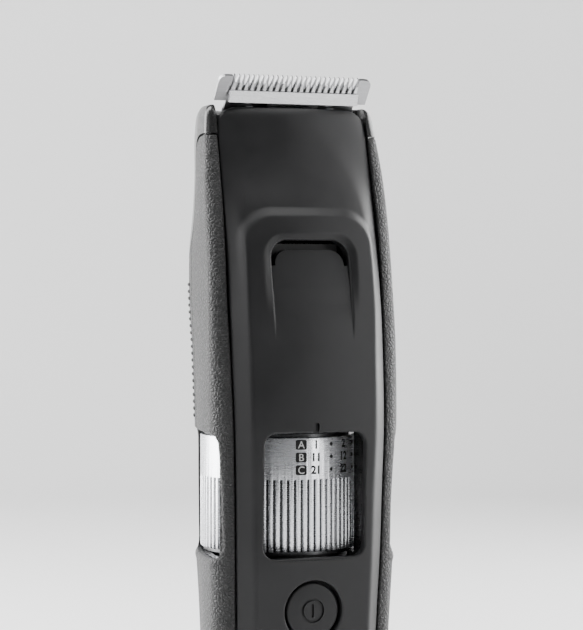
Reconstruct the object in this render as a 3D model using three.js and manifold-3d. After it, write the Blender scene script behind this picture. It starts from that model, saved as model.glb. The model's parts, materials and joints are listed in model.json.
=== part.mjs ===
// A cordless beard trimmer: casing, grips, length dial, comb carriage, motor, drive and blade block.
// Millimetres, +Z up along the body, front towards -Y, X to the right seen from the front.
// The origin is where the dial's axis meets the flat base. "Reach" means distance forward of that axis.
import * as THREE from "three";
import { mergeVertices } from "three/addons/utils/BufferGeometryUtils.js";
import Module from "manifold-3d";

const wasm = await Module();
wasm.setup();

// ---- Driving dimensions -------------------------------------------------------------------------

const gap = 0.3; // clearance between neighbouring pieces
const casingTop = 171.4;
const capHeight = 9; // joint between the base cap and the two housings
const faceWall = 2; // thickness of the front housing
const skin = 1.4; // thickness of the elastomer grips
const innerWall = 3.2; // depth of the back housing's inner surface below the grips' outer surface

// The casing's cross-section at a few heights. Each row: height; seam between front housing and grip
// (half width, reach); edge between face and bevel (half width, reach); reach on the centre line;
// widest point of the grip (half width, reach); radius of the back.
const sections = [
  [0, 17.0, 15.6, 13.6, 18.4, 19.0, 21.2, 10.5, 18.0],
  [25, 17.8, 17.4, 14.3, 20.7, 21.3, 22.5, 12.6, 18.9],
  [50, 18.4, 19.0, 14.8, 22.2, 22.8, 23.4, 14.2, 19.9],
  [63, 18.8, 19.8, 15.1, 22.9, 23.7, 23.8, 14.9, 20.6],
  [78, 19.1, 20.3, 15.4, 23.3, 24.4, 23.9, 15.0, 20.8],
  [94, 19.5, 20.6, 15.9, 23.8, 25.0, 24.3, 16.0, 20.9],
  [112, 19.8, 19.2, 16.2, 22.9, 24.3, 24.4, 15.8, 21.5],
  [124, 20.0, 17.8, 16.5, 21.8, 23.3, 24.2, 14.9, 22.2],
  [136, 19.9, 16.3, 16.5, 19.9, 21.8, 24.0, 13.4, 22.2],
  [146, 19.8, 14.4, 16.2, 17.0, 19.4, 23.8, 11.8, 21.3],
  [155, 19.7, 12.2, 15.7, 13.8, 16.2, 23.3, 10.2, 20.9],
  [164, 19.6, 9.8, 15.3, 10.9, 13.4, 22.5, 7.9, 20.9],
  [172, 19.4, 7.7, 15.0, 8.8, 11.6, 21.6, 5.6, 20.2],
];
const centreReach = 5; // the column that holds the reach on the centre line
const levels = [0, 1, 4, 25, 50, 63, 78, 94, 112, 124, 136, 146, 155, 164, 169, casingTop];
const baseRound = 4; // radius of the rounded edge at the base
const topRound = 3; // height of the rounded edge at the top
const topInset = 1.6;

const gripTop = 164;
const sideSeamY = 1.0; // seam between side grip and back, just behind the dial's axis

const dial = { bottom: 63.4, top: 91, radius: 19.5, bore: 17.4, detentBore: 18.2, detentTop: 70 };
const dialRim = { height: 0.8, low: 18.8, high: 18.5 }; // thin rims that close the gap to the housings
const dialClearance = 0.35;
const detents = 18;
const detentAngle = THREE.MathUtils.degToRad(13);
const carriageTravel = 9; // one half millimetre for each detent
const groove = { width: 2.6, depth: 1.2, start: 72 };

const windowBottom = 62.4;
const windowTop = 92.4;
const frontWindow = { halfWidth: 13, corner: 3 };
const marker = { halfWidth: 0.4, depth: 0.6, length: 2.4 }; // notch above the window
const sideWindow = { frontX: 22.5, frontReach: 18.5, backReach: -10 };

const scoop = { halfWidth: 10.1, bottom: 117, top: 138.4, depth: 2.7, corner: 4, backing: 4.2 };
const combSlot = { halfWidth: 8.4, bottom: 135.9, top: 138.2 };

const button = { z: 49.6, radius: 6.7, stemHalfWidth: 4.6, stemBottom: 34, front: 21.9, back: 18.2 };
const buttonHole = 0.7; // width of the groove round the button
const lamp = { z: 27, halfWidth: 2.6, radius: 0.9 };

const blade = { tipReach: 12.2, tipZ: 178, lean: THREE.MathUtils.degToRad(39) };
const fixed = {
  halfWidth: 19.9,
  earDepth: 7.3, // the ears reach this far down from the tips
  bodyHalfWidth: 16.9,
  bodyDepth: 13,
  thickness: 0.9,
  teeth: 27,
  pitch: 1.24,
  toothDepth: 2.6,
};
const moving = { halfWidth: 16.8, teeth: 21, pitch: 1.6, tip: 1.5, toothDepth: 2.7, thickness: 0.5 };
const bladeScrewX = 14.6;
const bladeScrewDown = 10.6;
const bladeScrewHole = 1.35;

const crank = 1.2; // throw of the eccentric pin
const pinRadius = 0.9;
const shaftRadius = 1;

const far = 40; // beyond the casing in every direction across it

// ---- Solids from three.js geometry --------------------------------------------------------------

function solid(geometry) {
  const bare = geometry.index ? geometry.toNonIndexed() : geometry.clone();
  bare.deleteAttribute("normal");
  bare.deleteAttribute("uv");
  const merged = mergeVertices(bare, 1e-4);
  return new wasm.Manifold(
    new wasm.Mesh({
      numProp: 3,
      vertProperties: merged.attributes.position.array,
      triVerts: new Uint32Array(merged.index.array),
    }),
  );
}

function geometryOf(manifold) {
  const mesh = manifold.getMesh();
  return new THREE.BufferGeometry()
    .setAttribute("position", new THREE.BufferAttribute(mesh.vertProperties, 3))
    .setIndex(new THREE.BufferAttribute(mesh.triVerts, 1));
}

function box(x0, x1, y0, y1, z0, z1) {
  const geometry = new THREE.BoxGeometry(x1 - x0, y1 - y0, z1 - z0);
  return solid(geometry.translate((x0 + x1) / 2, (y0 + y1) / 2, (z0 + z1) / 2));
}

function upright(radius, z0, z1, x = 0, y = 0, sides = 24) {
  const geometry = new THREE.CylinderGeometry(radius, radius, z1 - z0, sides);
  return solid(geometry.rotateX(Math.PI / 2).translate(x, y, (z0 + z1) / 2));
}

function foreAft(radius, y0, y1, x, z, sides = 16) {
  const geometry = new THREE.CylinderGeometry(radius, radius, y1 - y0, sides);
  return solid(geometry.translate(x, (y0 + y1) / 2, z));
}

function turned(profile, sides = 48) {
  const points = profile.map(([r, z]) => new THREE.Vector2(r, z));
  return solid(new THREE.LatheGeometry(points, sides).rotateX(Math.PI / 2));
}

function outline(points) {
  return new THREE.Shape(points.map(([a, b]) => new THREE.Vector2(a, b)));
}

function extruded(shape, depth) {
  return new THREE.ExtrudeGeometry(shape, { depth, bevelEnabled: false, curveSegments: 5 });
}

// A plan outline (x, y) raised from z0 to z1.
function plan(shape, z0, z1) {
  return solid(extruded(shape, z1 - z0).translate(0, 0, z0));
}

// A side outline (y, z) carried from x0 to x1.
function side(shape, x0, x1) {
  const cyclic = new THREE.Matrix4().makeBasis(
    new THREE.Vector3(0, 1, 0),
    new THREE.Vector3(0, 0, 1),
    new THREE.Vector3(1, 0, 0),
  );
  return solid(extruded(shape, x1 - x0).applyMatrix4(cyclic).translate(x0, 0, 0));
}

// A front outline (x, z) carried from y0 to y1.
function front(shape, y0, y1) {
  return solid(extruded(shape, y1 - y0).rotateX(Math.PI / 2).translate(0, y1, 0));
}

function roundedRectangle(x0, x1, z0, z1, radius) {
  const shape = new THREE.Shape();
  shape.moveTo(x0 + radius, z0);
  shape.lineTo(x1 - radius, z0);
  shape.absarc(x1 - radius, z0 + radius, radius, -Math.PI / 2, 0);
  shape.absarc(x1 - radius, z1 - radius, radius, 0, Math.PI / 2);
  shape.absarc(x0 + radius, z1 - radius, radius, Math.PI / 2, Math.PI);
  shape.absarc(x0 + radius, z0 + radius, radius, Math.PI, Math.PI * 1.5);
  return shape;
}

// Rings of equal length, one above the other, joined into a closed body with flat ends.
function loft(rings) {
  const count = rings[0].points.length;
  const positions = rings.flatMap(({ z, points }) => points.flatMap(([x, y]) => [x, y, z]));
  const faces = [];
  for (let level = 0; level < rings.length - 1; level++) {
    for (let i = 0; i < count; i++) {
      const next = (i + 1) % count;
      const low = level * count;
      const high = low + count;
      faces.push(low + i, low + next, high + next, low + i, high + next, high + i);
    }
  }
  const capOf = (ring) =>
    THREE.ShapeUtils.triangulateShape(
      ring.points.map(([x, y]) => new THREE.Vector2(x, y)),
      [],
    );
  const top = (rings.length - 1) * count;
  capOf(rings[0]).forEach(([a, b, c]) => faces.push(a, c, b));
  capOf(rings[rings.length - 1]).forEach(([a, b, c]) => faces.push(top + a, top + b, top + c));
  const geometry = new THREE.BufferGeometry();
  geometry.setAttribute("position", new THREE.Float32BufferAttribute(positions, 3));
  return solid(geometry.setIndex(faces));
}

// ---- The casing's outer form --------------------------------------------------------------------

// The section row at any height, on a smooth curve through the given rows.
function sectionAt(z) {
  const last = sections.length - 2;
  const found = sections.findIndex((row, i) => i <= last && z <= sections[i + 1][0]);
  const i = found < 0 ? last : found;
  const [before, from, to, after] = [-1, 0, 1, 2].map(
    (step) => sections[THREE.MathUtils.clamp(i + step, 0, last + 1)],
  );
  const span = to[0] - from[0];
  const t = (z - from[0]) / span;
  return from.map((value, k) => {
    const slopeFrom = (to[k] - before[k]) / (to[0] - before[0]);
    const slopeTo = (after[k] - value) / (after[0] - from[0]);
    return (
      value * (1 + 2 * t) * (1 - t) ** 2 +
      to[k] * t * t * (3 - 2 * t) +
      span * (slopeFrom * t * (1 - t) ** 2 - slopeTo * t * t * (1 - t))
    );
  });
}

// How far the rounded edges at the base and at the top draw the outline in.
function edgeInset(z) {
  if (z < baseRound) {
    const up = 1 - z / baseRound;
    return baseRound * 0.5 * (1 - Math.sqrt(1 - up * up));
  }
  const past = Math.max(0, (z - (casingTop - topRound)) / topRound);
  return topInset * (1 - Math.sqrt(1 - Math.min(1, past) ** 2));
}

// The section row drawn in by a depth, all round.
function drawnIn(row, depth) {
  const [z, seamX, seamReach, faceX, faceReach, centre, wideX, wideReach, back] = row;
  const corner = 0.41 * depth; // the bevel stands at about 45 degrees
  return [
    z,
    seamX - corner,
    seamReach - depth,
    faceX - corner,
    faceReach - depth,
    centre - depth,
    wideX - depth,
    Math.min(wideReach, seamReach - depth - 0.4),
    back - depth,
  ];
}

// Half of the outline at a height, from the front centre round to the back centre, as [x, reach].
function halfOutline(z, inward) {
  const depth = Math.max(inward, inward < 0 ? inward : edgeInset(z));
  const row = drawnIn(sectionAt(z), depth);
  const [, seamX, seamReach, faceX, faceReach, centre, wideX, wideReach, back] = row;
  const points = [];
  for (const t of [0, 0.4, 0.75, 1]) {
    points.push([faceX * t, centre - (centre - faceReach) * t * t]);
  }
  points.push([seamX, seamReach]);
  for (const degrees of [30, 60, 90]) {
    const a = THREE.MathUtils.degToRad(degrees);
    points.push([
      seamX + (wideX - seamX) * Math.sin(a),
      wideReach + (seamReach - wideReach) * Math.cos(a),
    ]);
  }
  const turn = THREE.MathUtils.degToRad(15);
  const start = new THREE.Vector2(back * Math.cos(turn), -back * Math.sin(turn));
  const flank = new THREE.CubicBezierCurve(
    new THREE.Vector2(wideX, wideReach),
    new THREE.Vector2(wideX, wideReach - 7),
    new THREE.Vector2(start.x + 6 * Math.sin(turn), start.y + 6 * Math.cos(turn)),
    start,
  );
  for (const t of [0.33, 0.67, 1]) {
    const p = flank.getPoint(t);
    points.push([p.x, p.y]);
  }
  for (const degrees of [30, 45, 60, 75, 90]) {
    const a = THREE.MathUtils.degToRad(degrees);
    points.push([back * Math.cos(a), -back * Math.sin(a)]);
  }
  return points;
}

function outlineAt(z, inward) {
  const half = halfOutline(z, inward);
  const left = half.slice(1, -1).reverse();
  return [...half, ...left.map(([x, reach]) => [-x, reach])].map(([x, reach]) => [x, -reach]);
}

// The casing drawn in by a distance: 0 is its outer surface, and a negative value lies outside it.
function casing(inward, z0 = 0, z1 = casingTop) {
  const heights = [z0, ...levels.filter((z) => z > z0 + 0.2 && z < z1 - 0.2), z1];
  return loft(heights.map((z) => ({ z, points: outlineAt(z, inward) })));
}

// Everything between the two seams of the front housing, widened by a margin on each side.
function frontSlab(margin) {
  const heights = [-1, ...levels.slice(3, -2), casingTop + 1];
  return loft(
    heights.map((z) => {
      const [, seamX, seamReach] = sectionAt(THREE.MathUtils.clamp(z, 0, casingTop));
      const x = seamX + margin;
      const y = -(seamReach - 5);
      return { z, points: [[-x, y], [-x, -far], [x, -far], [x, y]] };
    }),
  );
}

const outer = casing(0, capHeight + gap);
const belowFace = casing(faceWall, 0, casingTop);
const belowSkin = casing(skin, 0, casingTop);
const belowGrips = casing(skin + gap, 0, casingTop);
const inner = casing(innerWall, 0, casingTop);
const dialRoom = upright(dial.radius + dialClearance, windowBottom, windowTop, 0, 0, 48);

// Opening on each side through which the dial is turned.
function sideWindowCutter() {
  const { frontX, frontReach, backReach } = sideWindow;
  const half = [
    [30, -frontReach - 2],
    [frontX, -frontReach],
    [17.5, -6.5],
    [16.2, -backReach],
    [30, -backReach + 5],
  ];
  const right = plan(outline(half), windowBottom, windowTop);
  const left = plan(outline(half.map(([x, y]) => [-x, y]).reverse()), windowBottom, windowTop);
  return right.add(left);
}
const sideWindows = sideWindowCutter();

// ---- Casing pieces ------------------------------------------------------------------------------

function keyhole(grow) {
  const { z, radius, stemHalfWidth, stemBottom } = button;
  const r = radius + grow;
  const half = stemHalfWidth + grow;
  const meet = Math.acos(half / r);
  const shape = new THREE.Shape();
  shape.absarc(0, z, r, -meet, Math.PI + meet);
  shape.lineTo(-half, stemBottom + half - grow);
  shape.absarc(0, stemBottom + half - grow, half, Math.PI, Math.PI * 2);
  return shape;
}

const screwPosts = [
  { name: "upper", x: 14.2, z: 116 },
  { name: "lower", x: 10, z: 24 },
].flatMap(({ name, x, z }) => [
  { name: `case_screw_${name}_left`, x: -x, z },
  { name: `case_screw_${name}_right`, x, z },
]);
const post = { radius: 2.5, bore: 1.4, tipY: 4.4, bossStart: 5, bossEnd: 15 };
const screw = { seatY: 9.8, headRadius: 2.1, headHeight: 1.6, shank: 1.05, tipY: -4 };

// The horseshoe recess: it deepens evenly from its open lower end to its arched top.
function scoopCutter() {
  const { halfWidth, bottom, top, depth, corner } = scoop;
  const wedge = outline([
    [-far, bottom],
    [-far, top],
    [-sectionAt(top)[centreReach] + depth, top],
    [-sectionAt(bottom)[centreReach], bottom],
  ]);
  const horseshoe = roundedRectangle(-halfWidth, halfWidth, bottom - 17, top, corner);
  return side(wedge, -halfWidth, halfWidth).intersect(front(horseshoe, -far, 0));
}

// Everything that opens the front housing from the front: comb slot, dial window with its marker,
// power button and charge lamp.
function frontOpenings() {
  const { halfWidth, bottom, top } = combSlot;
  const slot = roundedRectangle(-halfWidth, halfWidth, bottom, top, 1);
  const { halfWidth: across, corner } = frontWindow;
  const window = roundedRectangle(-across, across, windowBottom, windowTop, corner);
  const { halfWidth: wide, depth, length } = marker;
  const markerY = -sectionAt(windowTop)[centreReach] + depth;
  const notch = box(-wide, wide, -far, markerY, windowTop - 1, windowTop + length);
  return front(slot, -far, -8)
    .add(front(window, -far, -12))
    .add(notch)
    .add(front(keyhole(buttonHole), -far, -12))
    .add(front(lampOutline(gap), -far, -12));
}

function frontHousing() {
  const head = front(roundedRectangle(-19.6, 19.6, -30, casingTop - 0.7, 5.2), -far, 0);
  let body = outer.subtract(belowFace).intersect(frontSlab(-gap / 2)).intersect(head);
  const backing = box(-12.4, 12.4, -far, -8, scoop.bottom - 3, scoop.top + 1);
  body = body.add(casing(faceWall - 0.2).subtract(casing(scoop.backing)).intersect(backing));
  for (const { x, z } of screwPosts) {
    const pillar = foreAft(post.radius, -22, post.tipY, x, z).intersect(casing(faceWall - 0.5));
    body = body.add(pillar).subtract(foreAft(post.bore, screw.tipY - 1.5, 6, x, z));
  }
  return body.subtract(scoopCutter()).subtract(frontOpenings()).subtract(dialRoom);
}

function lampOutline(grow) {
  const { halfWidth, radius, z } = lamp;
  const x = halfWidth + grow;
  const half = radius + grow;
  return roundedRectangle(-x, x, z - half, z + half, half - 0.05);
}

// Side outline of one flank's grip and of the back grip, in y and z.
function sideGripOutline(grow) {
  const back = sideSeamY + grow;
  const top = gripTop + grow;
  const shape = new THREE.Shape();
  shape.moveTo(-far, -5);
  shape.lineTo(back, -5);
  shape.lineTo(back, top - 9);
  shape.quadraticCurveTo(back, top, back - 8, top);
  shape.lineTo(-far, top);
  return shape;
}

function backGripOutline(grow) {
  const start = sideSeamY + gap - grow;
  const rise = 3 * grow; // the upper edge is steep at the flanks
  const shape = new THREE.Shape();
  shape.moveTo(start, -5);
  shape.lineTo(far, -5);
  shape.lineTo(far, 122 + rise);
  shape.lineTo(20, 127 + rise);
  shape.quadraticCurveTo(6, 132 + rise, start, 141 + rise);
  return shape;
}

function gripZones(grow) {
  const sides = side(sideGripOutline(grow), -30, 30).subtract(frontSlab(gap / 2 - grow));
  return [sides, side(backGripOutline(grow), -30, 30)];
}

const [sideZone, backZone] = gripZones(0);
const skinShell = outer.subtract(belowSkin).subtract(sideWindows).subtract(dialRoom);

function backHousing() {
  const [wideSides, wideBack] = gripZones(gap);
  const underSkin = casing(-2, 0, casingTop).subtract(belowGrips);
  const pillars = box(-24, 24, -19, -11, 56, 99)
    .subtract(box(-14.2, 14.2, -30, 0, 50, 110))
    .intersect(casing(faceWall + gap));
  let body = outer
    .subtract(inner)
    .subtract(frontSlab(gap / 2))
    .subtract(underSkin.intersect(wideSides.add(wideBack)))
    .add(pillars);
  for (const { x, z } of screwPosts) {
    const boss = foreAft(post.radius + 0.6, post.bossStart, post.bossEnd, x, z);
    body = body
      .add(boss.intersect(belowGrips))
      .subtract(foreAft(post.bore, 0, 30, x, z))
      .subtract(foreAft(screw.headRadius + gap, screw.seatY - gap, 30, x, z));
  }
  return body.subtract(sideWindows).subtract(dialRoom);
}

const socket = { y: 7, halfWidth: 5.2, halfDepth: 3.5, wall: 0.9, bottom: 0.4, top: 12, cavityTop: 8 };

function socketOutline(grow) {
  const halfWidth = socket.halfWidth + grow;
  const halfDepth = socket.halfDepth + grow;
  return roundedRectangle(-halfWidth, halfWidth, socket.y - halfDepth, socket.y + halfDepth, 1.4);
}

function baseCap() {
  return casing(0, 0, capHeight)
    .subtract(casing(2.2, 2.4, capHeight + 1))
    .subtract(plan(socketOutline(gap), -1, 20));
}

function inletSocket() {
  const { wall, bottom, top, cavityTop } = socket;
  return plan(socketOutline(0), bottom, top).subtract(plan(socketOutline(-wall), -1, cavityTop));
}

// ---- Dial, chassis and comb carriage ------------------------------------------------------------

// Solid that follows a helix on the dial's bore; the cam pin rides in it.
function helixCutter() {
  const steps = 28;
  const spare = THREE.MathUtils.degToRad(8);
  const total = detents * detentAngle;
  const [r0, r1] = [dial.bore - 0.6, dial.bore + groove.depth];
  const positions = [];
  const faces = [];
  for (let i = 0; i <= steps; i++) {
    const turn = -spare + ((total + 2 * spare) * i) / steps;
    const a = -Math.PI / 2 + turn;
    const z = groove.start + (carriageTravel * turn) / total;
    const h = groove.width / 2;
    for (const [r, dz] of [[r0, -h], [r1, -h], [r1, h], [r0, h]]) {
      positions.push(r * Math.cos(a), r * Math.sin(a), z + dz);
    }
  }
  for (let i = 0; i < steps; i++) {
    for (let k = 0; k < 4; k++) {
      const a = i * 4 + k;
      const b = i * 4 + ((k + 1) % 4);
      faces.push(a, a + 4, b + 4, a, b + 4, b);
    }
  }
  const end = steps * 4;
  faces.push(0, 1, 2, 0, 2, 3, end, end + 2, end + 1, end, end + 3, end + 2);
  const geometry = new THREE.BufferGeometry();
  geometry.setAttribute("position", new THREE.Float32BufferAttribute(positions, 3));
  return solid(geometry.setIndex(faces));
}

function lengthDial() {
  const { bottom, top, radius, bore, detentBore, detentTop } = dial;
  const { height, low, high } = dialRim;
  const ring = turned([
    [detentBore, bottom - height],
    [low, bottom - height],
    [low, bottom],
    [radius, bottom],
    [radius, top],
    [high, top],
    [high, top + height],
    [bore, top + height],
    [bore, detentTop],
    [detentBore, detentTop],
    [detentBore, bottom - height],
  ], 48);
  return ring.subtract(helixCutter());
}

function arcStrip(r0, r1, degrees) {
  const half = THREE.MathUtils.degToRad(degrees);
  const shape = new THREE.Shape();
  shape.absarc(0, 0, r1, Math.PI / 2 - half, Math.PI / 2 + half);
  shape.absarc(0, 0, r0, Math.PI / 2 + half, Math.PI / 2 - half, true);
  return shape;
}

const motor = { radius: 10.5, bottom: 99.9, top: 132.4, boss: 3, bossTop: 134.4 };
const collar = { radius: 16.9, bore: 15.4, bottom: 61, top: 99.5, slotHalfWidth: 3.2 };

function chassis() {
  const { radius, bore, bottom, top, slotHalfWidth } = collar;
  const frame = turned([
    [bore, bottom],
    [radius, bottom],
    [radius, top],
    [0, top],
    [0, top - 2],
    [bore, top - 2],
    [bore, bottom],
  ]);
  const stands = [[-8, 12], [8, 12], [-8.8, -10.6], [8.8, -10.6]];
  return stands
    .map(([x, y]) => upright(1.3, top - 1, motor.top + 0.5, x, y, 10))
    .reduce((body, stand) => body.add(stand), frame)
    .subtract(box(-slotHalfWidth, slotHalfWidth, -30, -12.4, 66, 120));
}

// Back plate and floor that carry the battery and the circuit board, hung under the collar.
function batteryTray() {
  const top = collar.bottom - gap;
  const plate = box(-6.4, 6.4, 11, 12.2, 13.8, top);
  const ledge = box(-6.4, 6.4, 11, 15.5, top - 1.2, top);
  const shelf = box(-6.4, 6.4, -14, 12.2, 13.4, 15);
  return plate.add(ledge).add(shelf);
}

function combCarriage() {
  const low = groove.start;
  const plate = box(-9, 9, -15.4, -13.4, 102, 137.6);
  const arm = box(-2.6, 2.6, -16.8, -14, low - 2, 106);
  const pin = foreAft(1, -18.3, -16, 0, low);
  const hook = side(
    outline([
      [-14, 125],
      [-14, 134.6],
      [-16.2, 134.6],
      [-16.2, 130],
    ]),
    -6.6,
    6.6,
  );
  return plate.add(arm).add(pin).add(hook);
}

// ---- Power, switch and motor --------------------------------------------------------------------

const cell = { radius: 7.2, bottom: 17.4, top: 66.4, y: 1.5 };
const board = { front: -13.6, back: -12.4, halfWidth: 7.1, bottom: 17, top: 60 };
const cam = { radius: 3.4, bottom: 141, top: 150, pinTop: 160, shaftEnd: 148.6 };

function battery() {
  const { radius, bottom, top } = cell;
  const cap = 2.6; // radius of the raised terminal
  const shoulder = top - 1;
  const profile = [[0, bottom], [radius, bottom], [radius, shoulder], [cap, shoulder], [cap, top], [0, top]];
  return turned(profile, 28);
}

const contactThickness = 0.4;

function batteryContact(bottom) {
  return box(-3, 3, cell.y - 2, cell.y + 2, bottom, bottom + contactThickness);
}

function circuitBoard() {
  const { front: from, back, halfWidth, bottom, top } = board;
  return box(-halfWidth, halfWidth, from, back, bottom, top);
}

function powerSwitch() {
  const half = 2.6;
  return box(-half, half, -15.5, board.front - gap, button.z - half, button.z + half);
}

function powerButton() {
  const cap = front(keyhole(0), -button.front, -button.back);
  const flange = front(keyhole(1.5), -button.back - 0.8, -button.back + 0.2);
  const plunger = foreAft(1.5, -button.back, -16.9, 0, button.z);
  return cap.add(flange).add(plunger);
}

function buttonSeal() {
  return front(keyhole(1.5), -16.3, -15.8).subtract(foreAft(2.4, -20, -10, 0, button.z));
}

function motorCan() {
  const { radius, bottom, top, boss, bossTop } = motor;
  const bore = shaftRadius + gap;
  return turned([
    [0, bottom],
    [radius - 0.8, bottom],
    [radius, bottom + 0.8],
    [radius, top],
    [boss, top],
    [boss, bossTop],
    [bore, bossTop],
    [bore, bottom + 22],
    [0, bottom + 22],
  ], 36);
}

function motorMount() {
  const { boss, top } = motor;
  const z0 = top + 0.8;
  return plan(roundedRectangle(-14, 14, -12.4, 14, 5), z0, z0 + 1.6).subtract(
    upright(boss + gap, z0 - 1, z0 + 3),
  );
}

function eccentricCam() {
  const { radius, bottom, top, pinTop, shaftEnd } = cam;
  const hub = upright(radius, bottom, top).add(upright(pinRadius, top - 1, pinTop, 0, crank, 16));
  return hub.subtract(upright(shaftRadius + gap, bottom - 1, shaftEnd + gap));
}

// ---- Head and blade block -----------------------------------------------------------------------

function headDeck() {
  const plate = casing(innerWall + gap, 160.4, 162.4).intersect(box(-30, 30, -8.6, 30, 150, 170));
  return plate.subtract(box(-8.6, 8.6, -6.2, 6.2, 150, 170));
}

function headSeal() {
  return plan(roundedRectangle(-8.2, 8.2, -5.8, 5.8, 2), 160.6, 163.6).subtract(
    plan(roundedRectangle(-6.5, 6.5, -4.2, 4.2, 1.5), 150, 170),
  );
}

// A point of the blade's side view: distance down from the tips and distance behind the front face.
function onBlade(down, behind) {
  const { tipReach, tipZ, lean } = blade;
  const reach = tipReach - down * Math.sin(lean) - behind * Math.cos(lean);
  return [-reach, tipZ - down * Math.cos(lean) + behind * Math.sin(lean)];
}

// Comb outline in the blade's own plane: x across and y up, with the tips at y = -tip.
function toothedEdge(shape, count, pitch, tip, depth) {
  for (let i = 0; i < count; i++) {
    const centre = (i - (count - 1) / 2) * pitch;
    shape.lineTo(centre - pitch * 0.34, -tip - depth);
    shape.lineTo(centre - pitch * 0.12, -tip);
    shape.lineTo(centre + pitch * 0.12, -tip);
    shape.lineTo(centre + pitch * 0.34, -tip - depth);
  }
}

// An outline in the blade's plane, thickened from one distance behind the front face to another.
function plate(shape, from, to) {
  const { tipReach, tipZ, lean } = blade;
  const geometry = extruded(shape, to - from).rotateX(Math.PI / 2).translate(0, to, 0);
  return solid(geometry.rotateX(lean).translate(0, -tipReach, tipZ));
}

function acrossBlade(radius, from, to, x, down) {
  const { tipReach, tipZ, lean } = blade;
  const geometry = new THREE.CylinderGeometry(radius, radius, to - from, 16);
  geometry.translate(x, (from + to) / 2, -down).rotateX(lean);
  return solid(geometry.translate(0, -tipReach, tipZ));
}

function fixedBlade() {
  const { halfWidth, teeth, pitch, toothDepth, thickness, earDepth, bodyHalfWidth, bodyDepth } = fixed;
  const shape = new THREE.Shape();
  shape.moveTo(-bodyHalfWidth, -bodyDepth);
  shape.lineTo(-bodyHalfWidth, -earDepth);
  shape.lineTo(-halfWidth, -earDepth);
  shape.lineTo(-halfWidth, -2);
  shape.quadraticCurveTo(-halfWidth, -0.2, -halfWidth + 2, -0.2);
  shape.lineTo(-(teeth * pitch) / 2 + 0.2, -0.2);
  toothedEdge(shape, teeth, pitch, 0, toothDepth);
  shape.lineTo((teeth * pitch) / 2 - 0.2, -0.2);
  shape.lineTo(halfWidth - 2, -0.2);
  shape.quadraticCurveTo(halfWidth, -0.2, halfWidth, -2);
  shape.lineTo(halfWidth, -earDepth);
  shape.lineTo(bodyHalfWidth, -earDepth);
  shape.lineTo(bodyHalfWidth, -bodyDepth);
  let body = plate(shape, 0, thickness);
  for (const x of [-bladeScrewX, bladeScrewX]) {
    body = body.subtract(acrossBlade(bladeScrewHole, -1, 2, x, bladeScrewDown));
  }
  return body;
}

function movingBlade() {
  const { halfWidth, teeth, pitch, tip, toothDepth, thickness } = moving;
  const root = tip + toothDepth;
  const comb = new THREE.Shape();
  comb.moveTo(-halfWidth, -root - 1);
  comb.lineTo(-halfWidth, -root);
  toothedEdge(comb, teeth, pitch, tip, toothDepth);
  comb.lineTo(halfWidth, -root);
  comb.lineTo(halfWidth, -root - 1);
  const bar = outline([
    [-10.75, 174.5],
    [-9.75, 174.75],
    [-9.2, 172.1],
    [-9.85, 171.75],
  ].reverse());
  const tail = outline([
    [-10.0, 172.4],
    [-9.3, 172.4],
    [-7.4, 170.1],
    [-7.8, 169.6],
    [-9.85, 171.75],
  ].reverse());
  return plate(comb, -gap - thickness, -gap)
    .add(side(bar, -halfWidth, halfWidth))
    .add(side(tail, -6.5, 6.5));
}

function bladeHolder() {
  const profile = outline([
    onBlade(8.6, -gap),
    onBlade(fixed.bodyDepth + 0.4, -gap),
    onBlade(fixed.bodyDepth + 0.4, 1.3),
    [-2.3, 169.3],
    [8, 170.2],
    [16, 168.6],
    [16, 164.2],
    [-7.8, 164.2],
    [-7.8, 168.2],
  ]);
  const room = casing(innerWall + 1.1, 150, casingTop); // narrow enough to lift straight out
  let body = side(profile, -16.9, 16.9)
    .intersect(room)
    .subtract(box(-13, 13, -30, -2.4, 150, 180))
    .subtract(box(-9, 9, -30, 4.6, 150, 168.2));
  for (const x of [-bladeScrewX, bladeScrewX]) {
    body = body.subtract(acrossBlade(bladeScrewHole, -4, 2, x, bladeScrewDown));
  }
  return body;
}

function driveFork() {
  const bar = box(-7, 7, -7, 3.4, 165.2, 167.6);
  const prongs = box(-4.8, 4.8, -3.4, 3.4, 152.2, 166).subtract(box(-2.5, 2.5, -far, far, 150, 165.4));
  const lug = box(-6, 6, -7, -5, 167, 168.9);
  return bar.add(prongs).add(lug);
}

function bladeSpring(sign) {
  const profile = outline([
    [-7.5, 171],
    [-7.2, 171.2],
    [-5.7, 168.9],
    [-3.4, 166.9],
    [-3.4, 166.4],
    [-6.0, 168.6],
  ]);
  return side(profile, sign < 0 ? -11.6 : 9.8, sign < 0 ? -9.8 : 11.6);
}

function bladeScrew(x) {
  const seat = fixed.thickness + gap;
  const head = acrossBlade(1.9, seat, seat + 0.9, x, bladeScrewDown);
  return head.add(acrossBlade(1, -1.2, seat + 0.5, x, bladeScrewDown));
}

function caseScrew(x, z) {
  const { seatY, headRadius, headHeight, shank, tipY } = screw;
  const head = foreAft(headRadius, seatY, seatY + headHeight, x, z);
  return head.add(foreAft(shank, tipY, seatY + 0.5, x, z));
}

// ---- The assembly -------------------------------------------------------------------------------

const finishes = {
  softTouch: { color: 0x2a2b2d, roughness: 0.55, metalness: 0 },
  satin: { color: 0x18191b, roughness: 0.3, metalness: 0 },
  grip: { color: 0x1d1e20, roughness: 0.75, metalness: 0 },
  silver: { color: 0xc9cbce, roughness: 0.28, metalness: 1 },
  steel: { color: 0xd5d7d9, roughness: 0.25, metalness: 1 },
  black: { color: 0x101112, roughness: 0.6, metalness: 0 },
  rubber: { color: 0x141415, roughness: 0.9, metalness: 0 },
  green: { color: 0x1d4a2c, roughness: 0.5, metalness: 0 },
  cell: { color: 0x2f5d86, roughness: 0.4, metalness: 0 },
  brass: { color: 0xb79a55, roughness: 0.35, metalness: 1 },
  lens: { color: 0x2c3a33, roughness: 0.15, metalness: 0 },
};

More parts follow.
